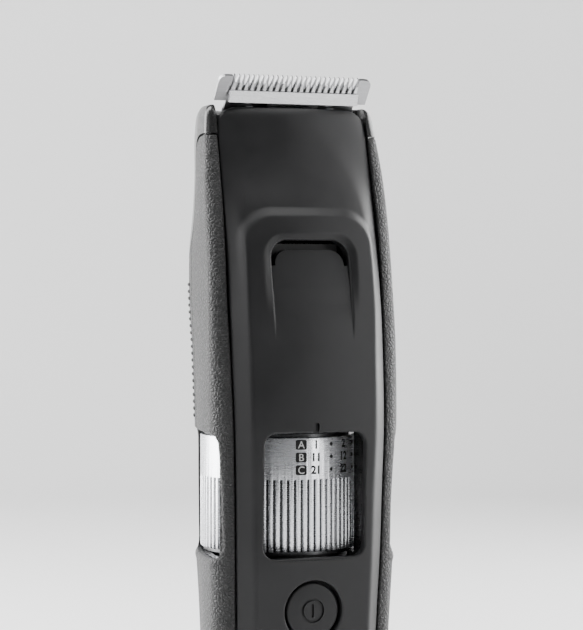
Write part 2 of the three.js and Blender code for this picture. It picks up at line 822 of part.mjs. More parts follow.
const trimmer = new THREE.Group();

function add(name, manifold, finish) {
  const mesh = new THREE.Mesh(geometryOf(manifold), new THREE.MeshStandardMaterial(finishes[finish]));
  mesh.name = name;
  trimmer.add(mesh);
}

function half(manifold, sign) {
  const [from, to] = sign < 0 ? [-far, 0] : [0, far];
  return manifold.intersect(box(from, to, -far, far, -1, casingTop + 1));
}

add("front_housing", frontHousing(), "softTouch");
add("back_housing", backHousing(), "satin");
add("left_grip", half(skinShell.intersect(sideZone), -1), "grip");
add("right_grip", half(skinShell.intersect(sideZone), 1), "grip");
add("back_grip", skinShell.intersect(backZone), "grip");
add("base_cap", baseCap(), "satin");
add("inlet_socket", inletSocket(), "black");
for (const [name, x] of [["left", -1.9], ["right", 1.9]]) {
  add(`inlet_pin_${name}`, upright(0.6, 5.6, socket.cavityTop - gap, x, socket.y, 12), "brass");
}
add("chassis", chassis(), "black");
add("battery_tray", batteryTray(), "black");
add("length_dial", lengthDial(), "silver");
add("dial_detent_spring", plan(arcStrip(17.3, 17.8, 24), 64.6, 68.6), "steel");
add("comb_carriage", combCarriage(), "black");
add("battery", battery().translate(0, cell.y, 0), "cell");
add("battery_contact_top", batteryContact(cell.top + gap), "brass");
add("battery_contact_bottom", batteryContact(cell.bottom - gap - contactThickness), "brass");
add("circuit_board", circuitBoard(), "green");
add("power_switch", powerSwitch(), "black");
add("button_seal", buttonSeal(), "rubber");
add("power_button", powerButton(), "softTouch");
add("charge_lamp", front(lampOutline(0), -21.2, -17.4), "lens");
add("motor_can", motorCan(), "steel");
add("motor_mount", motorMount(), "black");
add("motor_shaft", upright(shaftRadius, 126, cam.shaftEnd, 0, 0, 16), "steel");
add("eccentric_cam", eccentricCam(), "black");
add("head_deck", headDeck(), "black");
add("head_seal", headSeal(), "rubber");
add("blade_holder", bladeHolder(), "black");
add("fixed_blade", fixedBlade(), "steel");
add("moving_blade", movingBlade(), "steel");
add("drive_fork", driveFork(), "black");
for (const [name, sign] of [["left", -1], ["right", 1]]) {
  add(`blade_spring_${name}`, bladeSpring(sign), "steel");
  add(`blade_screw_${name}`, bladeScrew(sign * bladeScrewX), "steel");
}
for (const { name, x, z } of screwPosts) {
  add(name, caseScrew(x, z), "steel");
}

export default trimmer;
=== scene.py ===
"""The looks of a beard trimmer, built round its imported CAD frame.

Shapes are written in millimetres, as the CAD is, and become metres when a mesh is made.
+Z is up the body, the front faces -Y, and "reach" is the distance forward of the dial's axis.
"""

import json
import math

import bmesh
import bpy
import numpy as np
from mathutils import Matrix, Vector


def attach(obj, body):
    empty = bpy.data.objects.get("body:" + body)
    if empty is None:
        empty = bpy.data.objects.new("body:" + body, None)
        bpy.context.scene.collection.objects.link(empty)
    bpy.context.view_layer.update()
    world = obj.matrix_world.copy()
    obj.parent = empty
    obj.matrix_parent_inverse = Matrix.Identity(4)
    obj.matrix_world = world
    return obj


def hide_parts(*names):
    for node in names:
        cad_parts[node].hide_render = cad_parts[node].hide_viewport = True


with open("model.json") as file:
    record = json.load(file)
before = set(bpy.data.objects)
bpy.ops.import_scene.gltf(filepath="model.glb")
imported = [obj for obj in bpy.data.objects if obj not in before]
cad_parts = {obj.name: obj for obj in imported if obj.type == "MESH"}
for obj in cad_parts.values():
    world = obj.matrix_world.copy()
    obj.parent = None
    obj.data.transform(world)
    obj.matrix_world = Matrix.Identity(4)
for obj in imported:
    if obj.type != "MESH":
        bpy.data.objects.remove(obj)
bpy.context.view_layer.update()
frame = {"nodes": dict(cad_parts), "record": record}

# ---- Driving dimensions ----

MM = 0.001
GAP = 0.3
FAR = 40.0  # beyond the casing in every direction across it

# The casing's cross-section. Each row: height; seam between front housing and grip (half width,
# reach); edge between face and bevel (half width, reach); reach on the centre line; widest point
# of the grip (half width, reach); radius of the back.
SECTIONS = np.array([
    [0, 17.0, 15.6, 13.6, 18.4, 19.0, 21.2, 10.5, 18.0],
    [25, 17.8, 17.4, 14.3, 20.7, 21.3, 22.5, 12.6, 18.9],
    [50, 18.4, 19.0, 14.8, 22.2, 22.8, 23.4, 14.2, 19.9],
    [63, 18.8, 19.8, 15.1, 22.9, 23.7, 23.8, 14.9, 20.6],
    [78, 19.1, 20.3, 15.4, 23.3, 24.4, 23.9, 15.0, 20.8],
    [94, 19.5, 20.6, 15.9, 23.8, 25.0, 24.3, 16.0, 20.9],
    [112, 19.8, 19.2, 16.2, 22.9, 24.3, 24.4, 15.8, 21.5],
    [124, 20.0, 17.8, 16.5, 21.8, 23.3, 24.2, 14.9, 22.2],
    [136, 19.9, 16.3, 16.5, 19.9, 21.8, 24.0, 13.4, 22.2],
    [146, 19.8, 14.4, 16.2, 17.0, 19.4, 23.8, 11.8, 21.3],
    [155, 19.7, 12.2, 15.7, 13.8, 16.2, 23.3, 10.2, 20.9],
    [164, 19.6, 9.8, 15.3, 10.9, 13.4, 22.5, 7.9, 20.9],
    [172, 19.4, 7.7, 15.0, 8.8, 11.6, 21.6, 5.6, 20.2],
])
CASING_TOP = 171.4
CAP_HEIGHT = 9.0
FACE_WALL = 2.0
SKIN = 1.4
INNER_WALL = 3.2
BASE_ROUND = 4.0
TOP_ROUND = 3.0
TOP_INSET = 1.6

GRIP_TOP = 164.0
SIDE_SEAM_Y = 1.0

HEAD = {"half_width": 19.6, "top": 170.7, "corner": 5.2}  # top end of the front housing
PLATEAU = {"half_width": 16.9, "top": 145.0, "corner": 8.0, "step": 0.85, "slope": 2.6}
DISH = {"half_width": 12.3, "top": 140.5, "corner": 6.0, "depth": 0.75}
SCOOP = {"half_width": 10.0, "top": 138.4, "corner": 4.2, "bottom": 114.0, "depth": 2.7, "edge": 0.6,
         "backing": 2.3}
SLOT = {"half_width": 8.9, "top": 136.1, "corner": 3.6, "bottom": 132.3}

DIAL = {"bottom": 63.4, "top": 91.0, "radius": 19.5, "bore": 17.4, "detent_bore": 18.2, "detent_top": 70.0}
DIAL_RIM = {"height": 0.8, "low": 18.8, "high": 18.5}
RIB_TOP = 80.8
RIBS = 72
RIB_DEPTH = 0.75
DETENT = math.radians(13)
GROOVE = {"width": 2.6, "depth": 1.2, "start": 72.0, "rise": 9.0, "detents": 18}

WINDOW = {"half_width": 13.0, "bottom": 62.4, "top": 92.4, "corner": 3.0}
SIDE_WINDOW = {"front_y": -18.9, "back_y": 11.7, "corner": 3.0}
MARKER = {"half_width": 0.5, "depth": 0.9, "length": 2.4}
BUTTON = {"z": 49.6, "radius": 6.7, "stem": 4.6, "stem_bottom": 34.0, "front": 21.9, "back": 18.2}
BUTTON_HOLE = 0.7
LAMP = {"z": 27.0, "half_width": 2.6, "radius": 0.9, "front": 21.2, "back": 17.4}


# ---- Meshes ----

def make_object(name, points, faces):
    """An object from points in millimetres, with its faces turned outwards."""
    mesh = bpy.data.meshes.new(name)
    mesh.from_pydata((np.asarray(points, float) * MM).tolist(), [], faces)
    made = bmesh.new()
    made.from_mesh(mesh)
    bmesh.ops.recalc_face_normals(made, faces=made.faces)
    made.to_mesh(mesh)
    made.free()
    item = bpy.data.objects.new(name, mesh)
    bpy.context.scene.collection.objects.link(item)
    return item


def baked(item):
    """Applies the object's modifiers to its mesh."""
    bpy.context.view_layer.update()
    graph = bpy.context.evaluated_depsgraph_get()
    mesh = bpy.data.meshes.new_from_object(item.evaluated_get(graph))
    item.modifiers.clear()
    item.data = mesh
    return item


def combine(item, operation, *tools):
    """Joins, cuts or intersects an object with other closed objects, which are used up."""
    for tool in tools:
        modifier = item.modifiers.new("combine", "BOOLEAN")
        modifier.operation = operation
        modifier.solver = "MANIFOLD"
        modifier.object = tool
    baked(item)
    if not item.data.polygons:
        raise RuntimeError(item.name + " came out empty")
    for tool in tools:
        bpy.data.objects.remove(tool)
    return item


def cut(item, *tools):
    return combine(item, "DIFFERENCE", *tools)


def shaded(item, degrees=32):
    """Smooth shading that keeps the edges that are sharper than an angle."""
    mesh = item.data
    mesh.polygons.foreach_set("use_smooth", [True] * len(mesh.polygons))
    mesh.set_sharp_from_angle(angle=math.radians(degrees))
    return item


def sheet_solid(name, outer, inner):
    """A closed shell between two grids of points of the same size."""
    rows, columns = outer.shape[:2]
    index = np.arange(rows * columns).reshape(rows, columns)
    back = index + rows * columns
    quads = np.stack([index[:-1, :-1], index[:-1, 1:], index[1:, 1:], index[1:, :-1]], -1).reshape(-1, 4)
    faces = quads.tolist() + (quads[:, ::-1] + rows * columns).tolist()
    border = [*index[0, :], *index[1:, -1], *index[-1, -2::-1], *index[-2:0:-1, 0]]
    behind = [*back[0, :], *back[1:, -1], *back[-1, -2::-1], *back[-2:0:-1, 0]]
    for i in range(len(border)):
        j = (i + 1) % len(border)
        faces.append([int(border[i]), int(behind[i]), int(behind[j]), int(border[j])])
    points = np.concatenate([outer.reshape(-1, 3), inner.reshape(-1, 3)])
    return make_object(name, points, faces)


def ring_solid(name, rings, closed=False):
    """Rings with the same number of points, joined in order, with flat ends unless they close."""
    rings = np.asarray(rings, float)
    levels, count = rings.shape[:2]
    faces = []
    for level in range(levels if closed else levels - 1):
        low = level * count
        high = (level + 1) % levels * count
        for i in range(count):
            j = (i + 1) % count
            faces.append([low + i, low + j, high + j, high + i])
    if not closed:
        faces.append(list(range(count))[::-1])
        faces.append(list(range((levels - 1) * count, levels * count)))
    return make_object(name, rings.reshape(-1, 3), faces)


def block(x0, x1, y0, y1, z0, z1):
    rectangle = [(x0, y0), (x1, y0), (x1, y1), (x0, y1)]
    return ring_solid("block", [[(x, y, z) for x, y in rectangle] for z in (z0, z1)])


def plan(outline, z0, z1):
    """A plan outline (x, y) raised from z0 to z1."""
    return ring_solid("plan", [[(x, y, z) for x, y in outline] for z in (z0, z1)])


def side(outline, x0, x1):
    """A side outline (y, z) carried from x0 to x1."""
    return ring_solid("side", [[(x, y, z) for y, z in outline] for x in (x0, x1)])


def front(outline, y0, y1):
    """A front outline (x, z) carried from y0 to y1."""
    return ring_solid("front", [[(x, y, z) for x, z in outline] for y in (y0, y1)])


def fore_aft(radius, y0, y1, x, z, sides=40):
    return front([(x + radius * math.cos(a), z + radius * math.sin(a)) for a in turn(sides)], y0, y1)


def turn(count):
    return [2 * math.pi * i / count for i in range(count)]


def arc(x, y, radius, start, end, steps):
    """Points on an arc, its angles in degrees."""
    return [
        (x + radius * math.cos(math.radians(a)), y + radius * math.sin(math.radians(a)))
        for a in np.linspace(start, end, steps)
    ]


def rounded_rectangle(x0, x1, y0, y1, radius, steps=14):
    return [
        *arc(x1 - radius, y0 + radius, radius, -90, 0, steps),
        *arc(x1 - radius, y1 - radius, radius, 0, 90, steps),
        *arc(x0 + radius, y1 - radius, radius, 90, 180, steps),
        *arc(x0 + radius, y0 + radius, radius, 180, 270, steps),
    ]


def keyhole(grow, steps=64):
    """The power button's outline: a disc with a straight stem that ends in a half circle."""
    radius = BUTTON["radius"] + grow
    half = BUTTON["stem"] + grow
    meet = math.degrees(math.acos(half / radius))
    foot = BUTTON["stem_bottom"] + BUTTON["stem"]
    return [
        *arc(0, BUTTON["z"], radius, -meet, 180 + meet, steps),
        *arc(0, foot, half, 180, 360, steps // 2),
    ]


def graded(start, end, spacing, edge=()):
    """Evenly spaced values with closer ones at both ends, at the distances given in edge."""
    first = start + (edge[-1] if edge else 0)
    last = end - (edge[-1] if edge else 0)
    middle = np.linspace(first, last, max(2, round((last - first) / spacing) + 1))
    low = [start + d for d in edge[:-1]]
    high = [end - d for d in edge[:-1]][::-1]
    return np.concatenate([low, middle, high])


def rounded_drop(distance, radius):
    """How far a rounded edge of that radius lies below the surface, at a distance from the edge."""
    inside = np.clip(distance, 0, radius)
    return radius - np.sqrt(radius**2 - (radius - inside) ** 2)


def smooth_step(value, low, high):
    t = np.clip((value - low) / (high - low), 0, 1)
    return t * t * (3 - 2 * t)


# ---- The casing's outer form ----

def section_at(z):
    """The section rows at an array of heights, on a smooth curve through the given rows."""
    z = np.atleast_1d(np.asarray(z, float))
    last = len(SECTIONS) - 1
    i = np.clip(np.searchsorted(SECTIONS[:, 0], z) - 1, 0, last - 1)
    before, start, end, after = (SECTIONS[np.clip(i + k, 0, last)] for k in (-1, 0, 1, 2))
    span = (end - start)[:, :1]
    t = (z[:, None] - start[:, :1]) / span
    slope_start = (end - before) / (end - before)[:, :1]
    slope_end = (after - start) / (after - start)[:, :1]
    return (
        start * (1 + 2 * t) * (1 - t) ** 2
        + end * t * t * (3 - 2 * t)
        + span * (slope_start * t * (1 - t) ** 2 - slope_end * t * t * (1 - t))
    )


def edge_inset(z):
    """How far the rounded edges at the base and at the top draw the outline in."""
    up = np.clip(1 - np.asarray(z, float) / BASE_ROUND, 0, 1)
    past = np.clip((np.asarray(z, float) - (CASING_TOP - TOP_ROUND)) / TOP_ROUND, 0, 1)
    return BASE_ROUND * 0.5 * (1 - np.sqrt(1 - up**2)) + TOP_INSET * (1 - np.sqrt(1 - past**2))


def drawn_in(z, depth):
    """One section row drawn in by a depth all round; the bevel stands at about 45 degrees."""
    height, seam_x, seam, face_x, face, centre, wide_x, wide, back = section_at(z)[0]
    corner = 0.41 * depth
    wide = min(wide, seam - depth - 0.4)
    return (height, seam_x - corner, seam - depth, face_x - corner, face - depth, centre - depth,
            wide_x - depth, wide, back - depth)


def flank_curve(z, inward, fine=24):
    """The grip's side of the outline from the seam to the middle of the back, as [x, reach] points."""
    depth = max(inward, float(edge_inset(z))) if inward >= 0 else inward
    _, seam_x, seam, _, _, _, wide_x, wide, back = drawn_in(z, depth)
    a = np.linspace(0, math.pi / 2, fine)
    shoulder = np.stack([seam_x + (wide_x - seam_x) * np.sin(a), wide + (seam - wide) * np.cos(a)], 1)
    lean = math.radians(15)
    t = np.linspace(0, 1, fine)[1:, None]
    start = np.array([back * math.cos(lean), -back * math.sin(lean)])
    handle = start + 6 * np.array([math.sin(lean), math.cos(lean)])
    wide_point, pull = np.array([wide_x, wide]), np.array([wide_x, wide - 7])
    flank = (
        wide_point * (1 - t) ** 3 + 3 * pull * t * (1 - t) ** 2 + 3 * handle * t * t * (1 - t) + start * t**3
    )
    b = np.linspace(lean, math.pi / 2, fine + 8)[1:]
    round_back = np.stack([back * np.cos(b), -back * np.sin(b)], 1)
    return np.concatenate([shoulder, flank, round_back])


def outline_at(z, inward, fine=24):
    """The whole outline at a height, as [x, y] points from the front centre round."""
    depth = max(inward, float(edge_inset(z))) if inward >= 0 else inward
    _, _, _, face_x, face, centre, _, _, _ = drawn_in(z, depth)
    t = np.linspace(0, 1, 10)[:, None]
    face_points = np.concatenate([face_x * t, centre - (centre - face) * t * t], 1)
    half = np.concatenate([face_points, flank_curve(z, inward, fine)])
    mirrored = half[1:-1][::-1] * [-1, 1]
    return np.concatenate([half, mirrored]) * [1, -1]


def casing(name, inward, z0, z1, spacing=2.0):
    heights = graded(z0, z1, spacing, (0, 0.15, 0.4, 0.8, 1.3, 2.0, 3.0))
    rings = []
    for z in heights:
        outline = outline_at(z, inward)
        rings.append(np.column_stack([outline, np.full(len(outline), z)]))
    return ring_solid(name, rings)


def seam_slab(margin):
    """Everything between the two seams of the front housing, widened by a margin on each side."""
    rings = []
    for z in [-1.0, *np.arange(5, 170, 5.0), CASING_TOP + 1]:
        _, seam_x, seam = section_at(min(max(z, 0), CASING_TOP))[0][:3]
        x, y = seam_x + margin, -(seam - 5)
        rings.append([(-x, y, z), (-x, -FAR, z), (x, -FAR, z), (x, y, z)])
    return ring_solid("slab", rings)


def dial_room():
    """The round space that the dial turns in."""
    radius = DIAL["radius"] + 0.35
    circle = [(radius * math.cos(a), radius * math.sin(a)) for a in turn(128)]
    return plan(circle, WINDOW["bottom"], WINDOW["top"])


def side_window(sign):
    """Cutter for the opening on one flank through which the dial is turned."""
    half = [(30, -20.5), (22.5, -18.5), (17.5, -6.5), (16.2, 10), (30, 15)]
    wedge = plan([(sign * x, y) for x, y in half], WINDOW["bottom"] - 1, WINDOW["top"] + 1)
    return combine(wedge, "INTERSECT", side(rounded_rectangle(
        SIDE_WINDOW["front_y"], SIDE_WINDOW["back_y"], WINDOW["bottom"], WINDOW["top"], SIDE_WINDOW["corner"]
    ), -30, 30))


# ---- Front housing ----

def arch_distance(x, z, half_width, top, corner):
    """Signed distance to an arch that is open below; negative inside."""
    across = np.abs(x) - (half_width - corner)
    up = z - (top - corner)
    rounded = np.hypot(np.maximum(across, 0), np.maximum(up, 0)) - corner
    return np.where((across > 0) & (up > 0), rounded, np.maximum(across, up) - corner)


def arch(half_width, top, corner, bottom, steps=16):
    return [
        (half_width, bottom),
        *arc(half_width - corner, top - corner, corner, 0, 90, steps),
        *arc(corner - half_width, top - corner, corner, 90, 180, steps),
        (-half_width, bottom),
    ]


def scoop_depth(z):
    """Depth of the horseshoe recess, which runs out smoothly at its lower end."""
    return SCOOP["depth"] * np.clip((z - SCOOP["bottom"]) / (SCOOP["top"] - SCOOP["bottom"]), 0, 1) ** 1.5


def face_base(x, z):
    """Reach of the crowned face and its two bevels, with a soft edge between them."""
    shape = np.shape(x)
    rows = section_at(np.ravel(z))
    _, seam_x, seam, face_x, face, centre = rows.T[:6]
    depth = edge_inset(np.ravel(z))
    across = np.abs(np.ravel(x))
    crown = centre - (centre - face) * (across / face_x) ** 2
    bevel = face + (across - face_x) * (seam - face) / (seam_x - face_x)
    soft = 0.55
    mix = np.clip(0.5 + 0.5 * (bevel - crown) / soft, 0, 1)
    lowest = bevel + (crown - bevel) * mix - soft * mix * (1 - mix)
    return (lowest - depth).reshape(shape)


def face_reach(x, z):
    """Reach of the front housing's outer surface, with its plateau, dish and recess edge."""
    outside = arch_distance(x, z, PLATEAU["half_width"], PLATEAU["top"], PLATEAU["corner"])
    shallow = smooth_step(z, 118, 141) * (1 - smooth_step(z, 150, 169))
    step = PLATEAU["step"] * shallow * smooth_step(outside, -PLATEAU["slope"] * 0.4, PLATEAU["slope"] * 0.6)
    within = -arch_distance(x, z, DISH["half_width"], DISH["top"], DISH["corner"])
    dish = DISH["depth"] * smooth_step(within, 0, 2.2) * smooth_step(z, 119, 133)
    rim = arch_distance(x, z, SCOOP["half_width"], SCOOP["top"], SCOOP["corner"])
    rounding = rounded_drop(rim, SCOOP["edge"]) * np.clip(scoop_depth(z) / SCOOP["edge"], 0, 1)
    return face_base(x, z) - step - dish - rounding


def opening(outline_of, edge, inner_y, flush=0.01):
    """Cutter for an opening in the face whose edge is rounded over, following the face."""
    rings = []

    def ring(grow, y_of):
        points = np.array(outline_of(grow))
        rings.append(np.column_stack([points[:, 0], y_of(points[:, 0], points[:, 1]), points[:, 1]]))

    ring(edge, lambda x, z: np.full_like(x, -FAR))
    for a in np.radians([0, 15, 30, 45, 60, 75, 90]):
        depth = edge * (1 - math.cos(a))
        ring(edge * (1 - math.sin(a)), lambda x, z, d=depth: -(face_reach(x, z) - d) - (0 if d else flush))
    ring(0.0, lambda x, z: np.full_like(x, inner_y))
    return ring_solid("opening", rings)


def face_grid():
    """Grids of x and z over the front housing, close where its form changes fast."""
    corner_z = HEAD["top"] - HEAD["corner"]
    heights = np.concatenate([
        graded(CAP_HEIGHT + GAP, 112, 0.8, (0, 0.06, 0.16, 0.32, 0.5))[:-5],
        np.arange(112, 131, 0.5),
        np.arange(131, 147.5, 0.22),
        np.arange(147.5, corner_z, 0.6),
        corner_z + HEAD["corner"] * np.sin(np.radians([0, 10, 20, 30, 40, 50, 59, 67, 74, 80, 85, 88, 90])),
    ])
    half = np.concatenate([
        np.linspace(0, 8.8, 20)[:-1],
        np.arange(8.8, 10.9, 0.15),
        np.arange(10.9, 14.2, 0.4),
        np.arange(14.2, 18.6, 0.28),
        [18.75, 18.85, 18.92, 18.97, 19.0],
    ]) / 19.0
    u = np.concatenate([-half[::-1], half[1:]])
    up = np.clip(heights - corner_z, 0, HEAD["corner"])
    width = np.minimum(
        section_at(heights)[:, 1] - GAP / 2,
        HEAD["half_width"] - HEAD["corner"] + np.sqrt(np.maximum(HEAD["corner"] ** 2 - up**2, 0)),
    )
    return u[None, :] * width[:, None], np.repeat(heights[:, None], len(u), 1), width


def screw_posts():
    return [(sign * x, z) for x, z in ((14.2, 116.0), (10.0, 24.0)) for sign in (-1, 1)]


def build_front_housing():
    x, z, width = face_grid()
    edge = 0.35
    corner_z = HEAD["top"] - HEAD["corner"]
    to_side = width[:, None] - np.abs(x)
    to_top = np.where(z > corner_z, HEAD["corner"] - np.hypot(
        np.maximum(np.abs(x) - (HEAD["half_width"] - HEAD["corner"]), 0), z - corner_z), HEAD["top"] - z)
    to_edge = np.minimum(np.minimum(to_side, to_top), z - CAP_HEIGHT - GAP)
    reach = face_reach(x, z) - rounded_drop(to_edge, edge)
    outer = np.stack([x, -reach, z], -1)
    behind_scoop = smooth_step(13.4 - np.abs(x), 0, 1)
    behind_scoop *= smooth_step(z, 112.5, 115) * smooth_step(140.8 - z, 0, 1.6)
    wall = FACE_WALL + SCOOP["backing"] * behind_scoop
    inner = np.stack([x, -(face_base(x, z) + edge_inset(z) - wall), z], -1)
    housing = sheet_solid("front_housing_shell", outer, inner)

    posts = []
    for px, pz in screw_posts():
        start = -float(face_base(np.array(px), np.array(pz))) + 1.2
        posts.append(fore_aft(2.5, start, 4.4, px, pz))
    combine(housing, "UNION", *posts)
    bores = [fore_aft(1.4, -5.5, 6, px, pz) for px, pz in screw_posts()]

    share = (SCOOP["edge"] / SCOOP["depth"]) ** (2 / 3)
    wall_starts = SCOOP["bottom"] + (SCOOP["top"] - SCOOP["bottom"]) * share
    grid_x, grid_z = np.meshgrid(np.linspace(-10.6, 10.6, 44), np.linspace(wall_starts, 139.4, 60))
    floor = -(face_base(grid_x, grid_z) - scoop_depth(grid_z) - 0.005)
    recess = sheet_solid("recess", np.stack([grid_x, np.full_like(grid_x, -FAR), grid_z], -1),
                         np.stack([grid_x, floor, grid_z], -1))
    horseshoe = arch(SCOOP["half_width"], SCOOP["top"], SCOOP["corner"], 112.5)
    combine(recess, "INTERSECT", front(horseshoe, -FAR - 1, 0))

    crescent = arch(SCOOP["half_width"] - 0.05, SCOOP["top"] - 0.05, SCOOP["corner"], SLOT["bottom"])
    crescent = front(crescent, -FAR, -8)
    tongue = arch(SLOT["half_width"], SLOT["top"], SLOT["corner"], SLOT["bottom"] - 5)
    cut(crescent, front(tongue, -FAR - 1, 0))

    def window(grow):
        return rounded_rectangle(-WINDOW["half_width"] - grow, WINDOW["half_width"] + grow,
                                 WINDOW["bottom"] - grow, WINDOW["top"] + grow, WINDOW["corner"] + grow)

    def lamp_hole(grow):
        half_width = LAMP["half_width"] + GAP + grow
        half = LAMP["radius"] + GAP + grow
        return rounded_rectangle(-half_width, half_width, LAMP["z"] - half, LAMP["z"] + half, half - 0.01)

    notch_y = -float(face_reach(np.array(0.0), np.array(WINDOW["top"]))) + MARKER["depth"]
    notch = front(rounded_rectangle(-MARKER["half_width"], MARKER["half_width"], WINDOW["top"] - 1,
                                    WINDOW["top"] + MARKER["length"], 0.35, 6), -FAR, notch_y)
    cut(housing, *bores, recess, crescent, opening(window, 0.55, -12), notch,
        opening(lambda grow: keyhole(BUTTON_HOLE + grow), 0.45, -12), opening(lamp_hole, 0.25, -12))
    return shaded(housing, 30)


# ---- Grips ----

EDGE_OFFSETS = np.array([0, 0.05, 0.14, 0.28, 0.45])  # where a grip's rounded edge has its points


def lengths_along(points):
    """Distance from the first point to each point of a line, along it."""
    return np.concatenate([[0], np.cumsum(np.linalg.norm(np.diff(points, axis=0), axis=-1))])


def resampled(curve, start, end, fractions):
    """Points at fractions of the way along a curve between two lengths."""
    lengths = lengths_along(curve)
    wanted = start + (end - start) * fractions
    return np.column_stack([np.interp(wanted, lengths, curve[:, k]) for k in (0, 1)])


def length_where(curve, values, target):
    """Length along a curve at which a quantity first reaches a target."""
    lengths = lengths_along(curve)
    i = max(1, int(np.argmax(values >= target)))
    share = (target - values[i - 1]) / (values[i] - values[i - 1])
    return lengths[i - 1] + share * (lengths[i] - lengths[i - 1])


def outward(grid):
    """Unit normals of a grid of points, pointing away from the dial's axis."""
    normal = np.cross(np.gradient(grid, axis=1), np.gradient(grid, axis=0))
    normal /= np.linalg.norm(normal, axis=-1, keepdims=True)
    facing = np.sign((normal[..., :2] * grid[..., :2]).sum(-1, keepdims=True))
    return normal * facing


def side_window_distance(y, z):
    """Distance outside the side window's outline; negative inside it."""
    half_y = (SIDE_WINDOW["back_y"] - SIDE_WINDOW["front_y"]) / 2
    half_z = (WINDOW["top"] - WINDOW["bottom"]) / 2
    corner = SIDE_WINDOW["corner"]
    along = np.abs(y - (SIDE_WINDOW["back_y"] + SIDE_WINDOW["front_y"]) / 2) - half_y + corner
    up = np.abs(z - (WINDOW["top"] + WINDOW["bottom"]) / 2) - half_z + corner
    return np.hypot(np.maximum(along, 0), np.maximum(up, 0)) + np.minimum(np.maximum(along, up), 0) - corner


def grip_relief(y, z):
    """Height added round the side window: a rounded edge, and a raised lip along its lower side."""
    outside = side_window_distance(y, z)
    lip = 0.24 * np.exp(-(((z - WINDOW["bottom"] + 1.2) / 0.9) ** 2))
    lip *= smooth_step(y, SIDE_WINDOW["front_y"] - 0.8, SIDE_WINDOW["front_y"] + 2.2)
    lip *= 1 - smooth_step(y, SIDE_WINDOW["back_y"] - 2.2, SIDE_WINDOW["back_y"] + 0.8)
    return lip - rounded_drop(outside, 0.5)


def grip_heights(top):
    low = [WINDOW["bottom"] - d for d in (3.2, 2.6, 2.2, 1.8, 1.5, 1.2, 0.95, 0.7, 0.5, 0.32, 0.18, 0.06)]
    high = [WINDOW["top"] + d for d in (0.06, 0.18, 0.32, 0.5, 0.8)]
    edge = (0, 0.05, 0.14, 0.28, 0.45, 0.7)
    return np.concatenate([
        graded(CAP_HEIGHT + GAP, low[0] - 0.7, 0.75, edge)[:-5],
        low,
        np.arange(WINDOW["bottom"] + 0.5, WINDOW["top"], 1.5),
        high,
        graded(high[-1] + 0.5, top, 0.7, edge)[5:],
    ])


def side_grip_back(z):
    """Where the side grip ends towards the back at a height: a straight seam, then a rounded corner."""
    t = 1 - math.sqrt(max(0.0, min(1.0, (GRIP_TOP - z) / 9)))
    return SIDE_SEAM_Y - 8 * t * t


def build_side_grip(sign, name):
    heights = grip_heights(GRIP_TOP)
    edge = 0.5
    outer, inner, distance = [], [], []
    corner_z = np.linspace(GRIP_TOP - 9, GRIP_TOP, 40)
    boundary = np.array([(side_grip_back(z), z) for z in [CAP_HEIGHT, *corner_z]])
    boundary = np.concatenate([boundary, [[-30, GRIP_TOP]]])
    for z in heights:
        start_x = section_at(z)[0][1] + GAP / 2
        end_y = side_grip_back(z)
        rows = []
        for inward in (0.0, SKIN):
            curve = flank_curve(z, inward, 40)
            start = length_where(curve, curve[:, 0], start_x)
            end = length_where(curve, -curve[:, 1], end_y)
            rows.append((curve, start, end))
        length = rows[0][2] - rows[0][1]
        fractions = np.concatenate([EDGE_OFFSETS / length, np.linspace(0.7 / length, 1 - 0.7 / length, 64),
                                    1 - EDGE_OFFSETS[::-1] / length])
        for store, (curve, start, end) in zip((outer, inner), rows):
            points = resampled(curve, start, end, fractions)
            store.append(np.column_stack([sign * points[:, 0], -points[:, 1], np.full(len(points), z)]))
        distance.append(fractions * length)
    outer, inner, distance = np.array(outer), np.array(inner), np.array(distance)
    to_outline = distance_to_line(outer[..., 1:], boundary)
    to_edge = np.minimum(np.minimum(distance, to_outline), outer[..., 2] - CAP_HEIGHT - GAP)
    relief = grip_relief(outer[..., 1], outer[..., 2]) - rounded_drop(to_edge, edge)
    outer = outer + outward(outer) * relief[..., None]
    grip = sheet_solid(name, outer, inner)
    cut(grip, side_window(sign), dial_room())
    return shaded(grip, 40)


def distance_to_line(points, line):
    """Distance of each point of a grid from a line of points."""
    best = np.full(points.shape[:-1], 1e9)
    for a, b in zip(line[:-1], line[1:]):
        along = b - a
        t = np.clip(((points - a) @ along) / max(along @ along, 1e-12), 0, 1)
        best = np.minimum(best, np.linalg.norm(points - (a + t[..., None] * along), axis=-1))
    return best


def back_grip_top():
    """The back grip's upper edge as [y, z] points, from the flank round to the back."""
    t = np.linspace(0, 1, 40)[:, None]
    start, pull, end = np.array([1.3, 141.0]), np.array([6.0, 132.0]), np.array([20.0, 127.0])
    curve = start * (1 - t) ** 2 + 2 * pull * t * (1 - t) + end * t * t
    return np.concatenate([curve, [[40.0, 122.0]]])


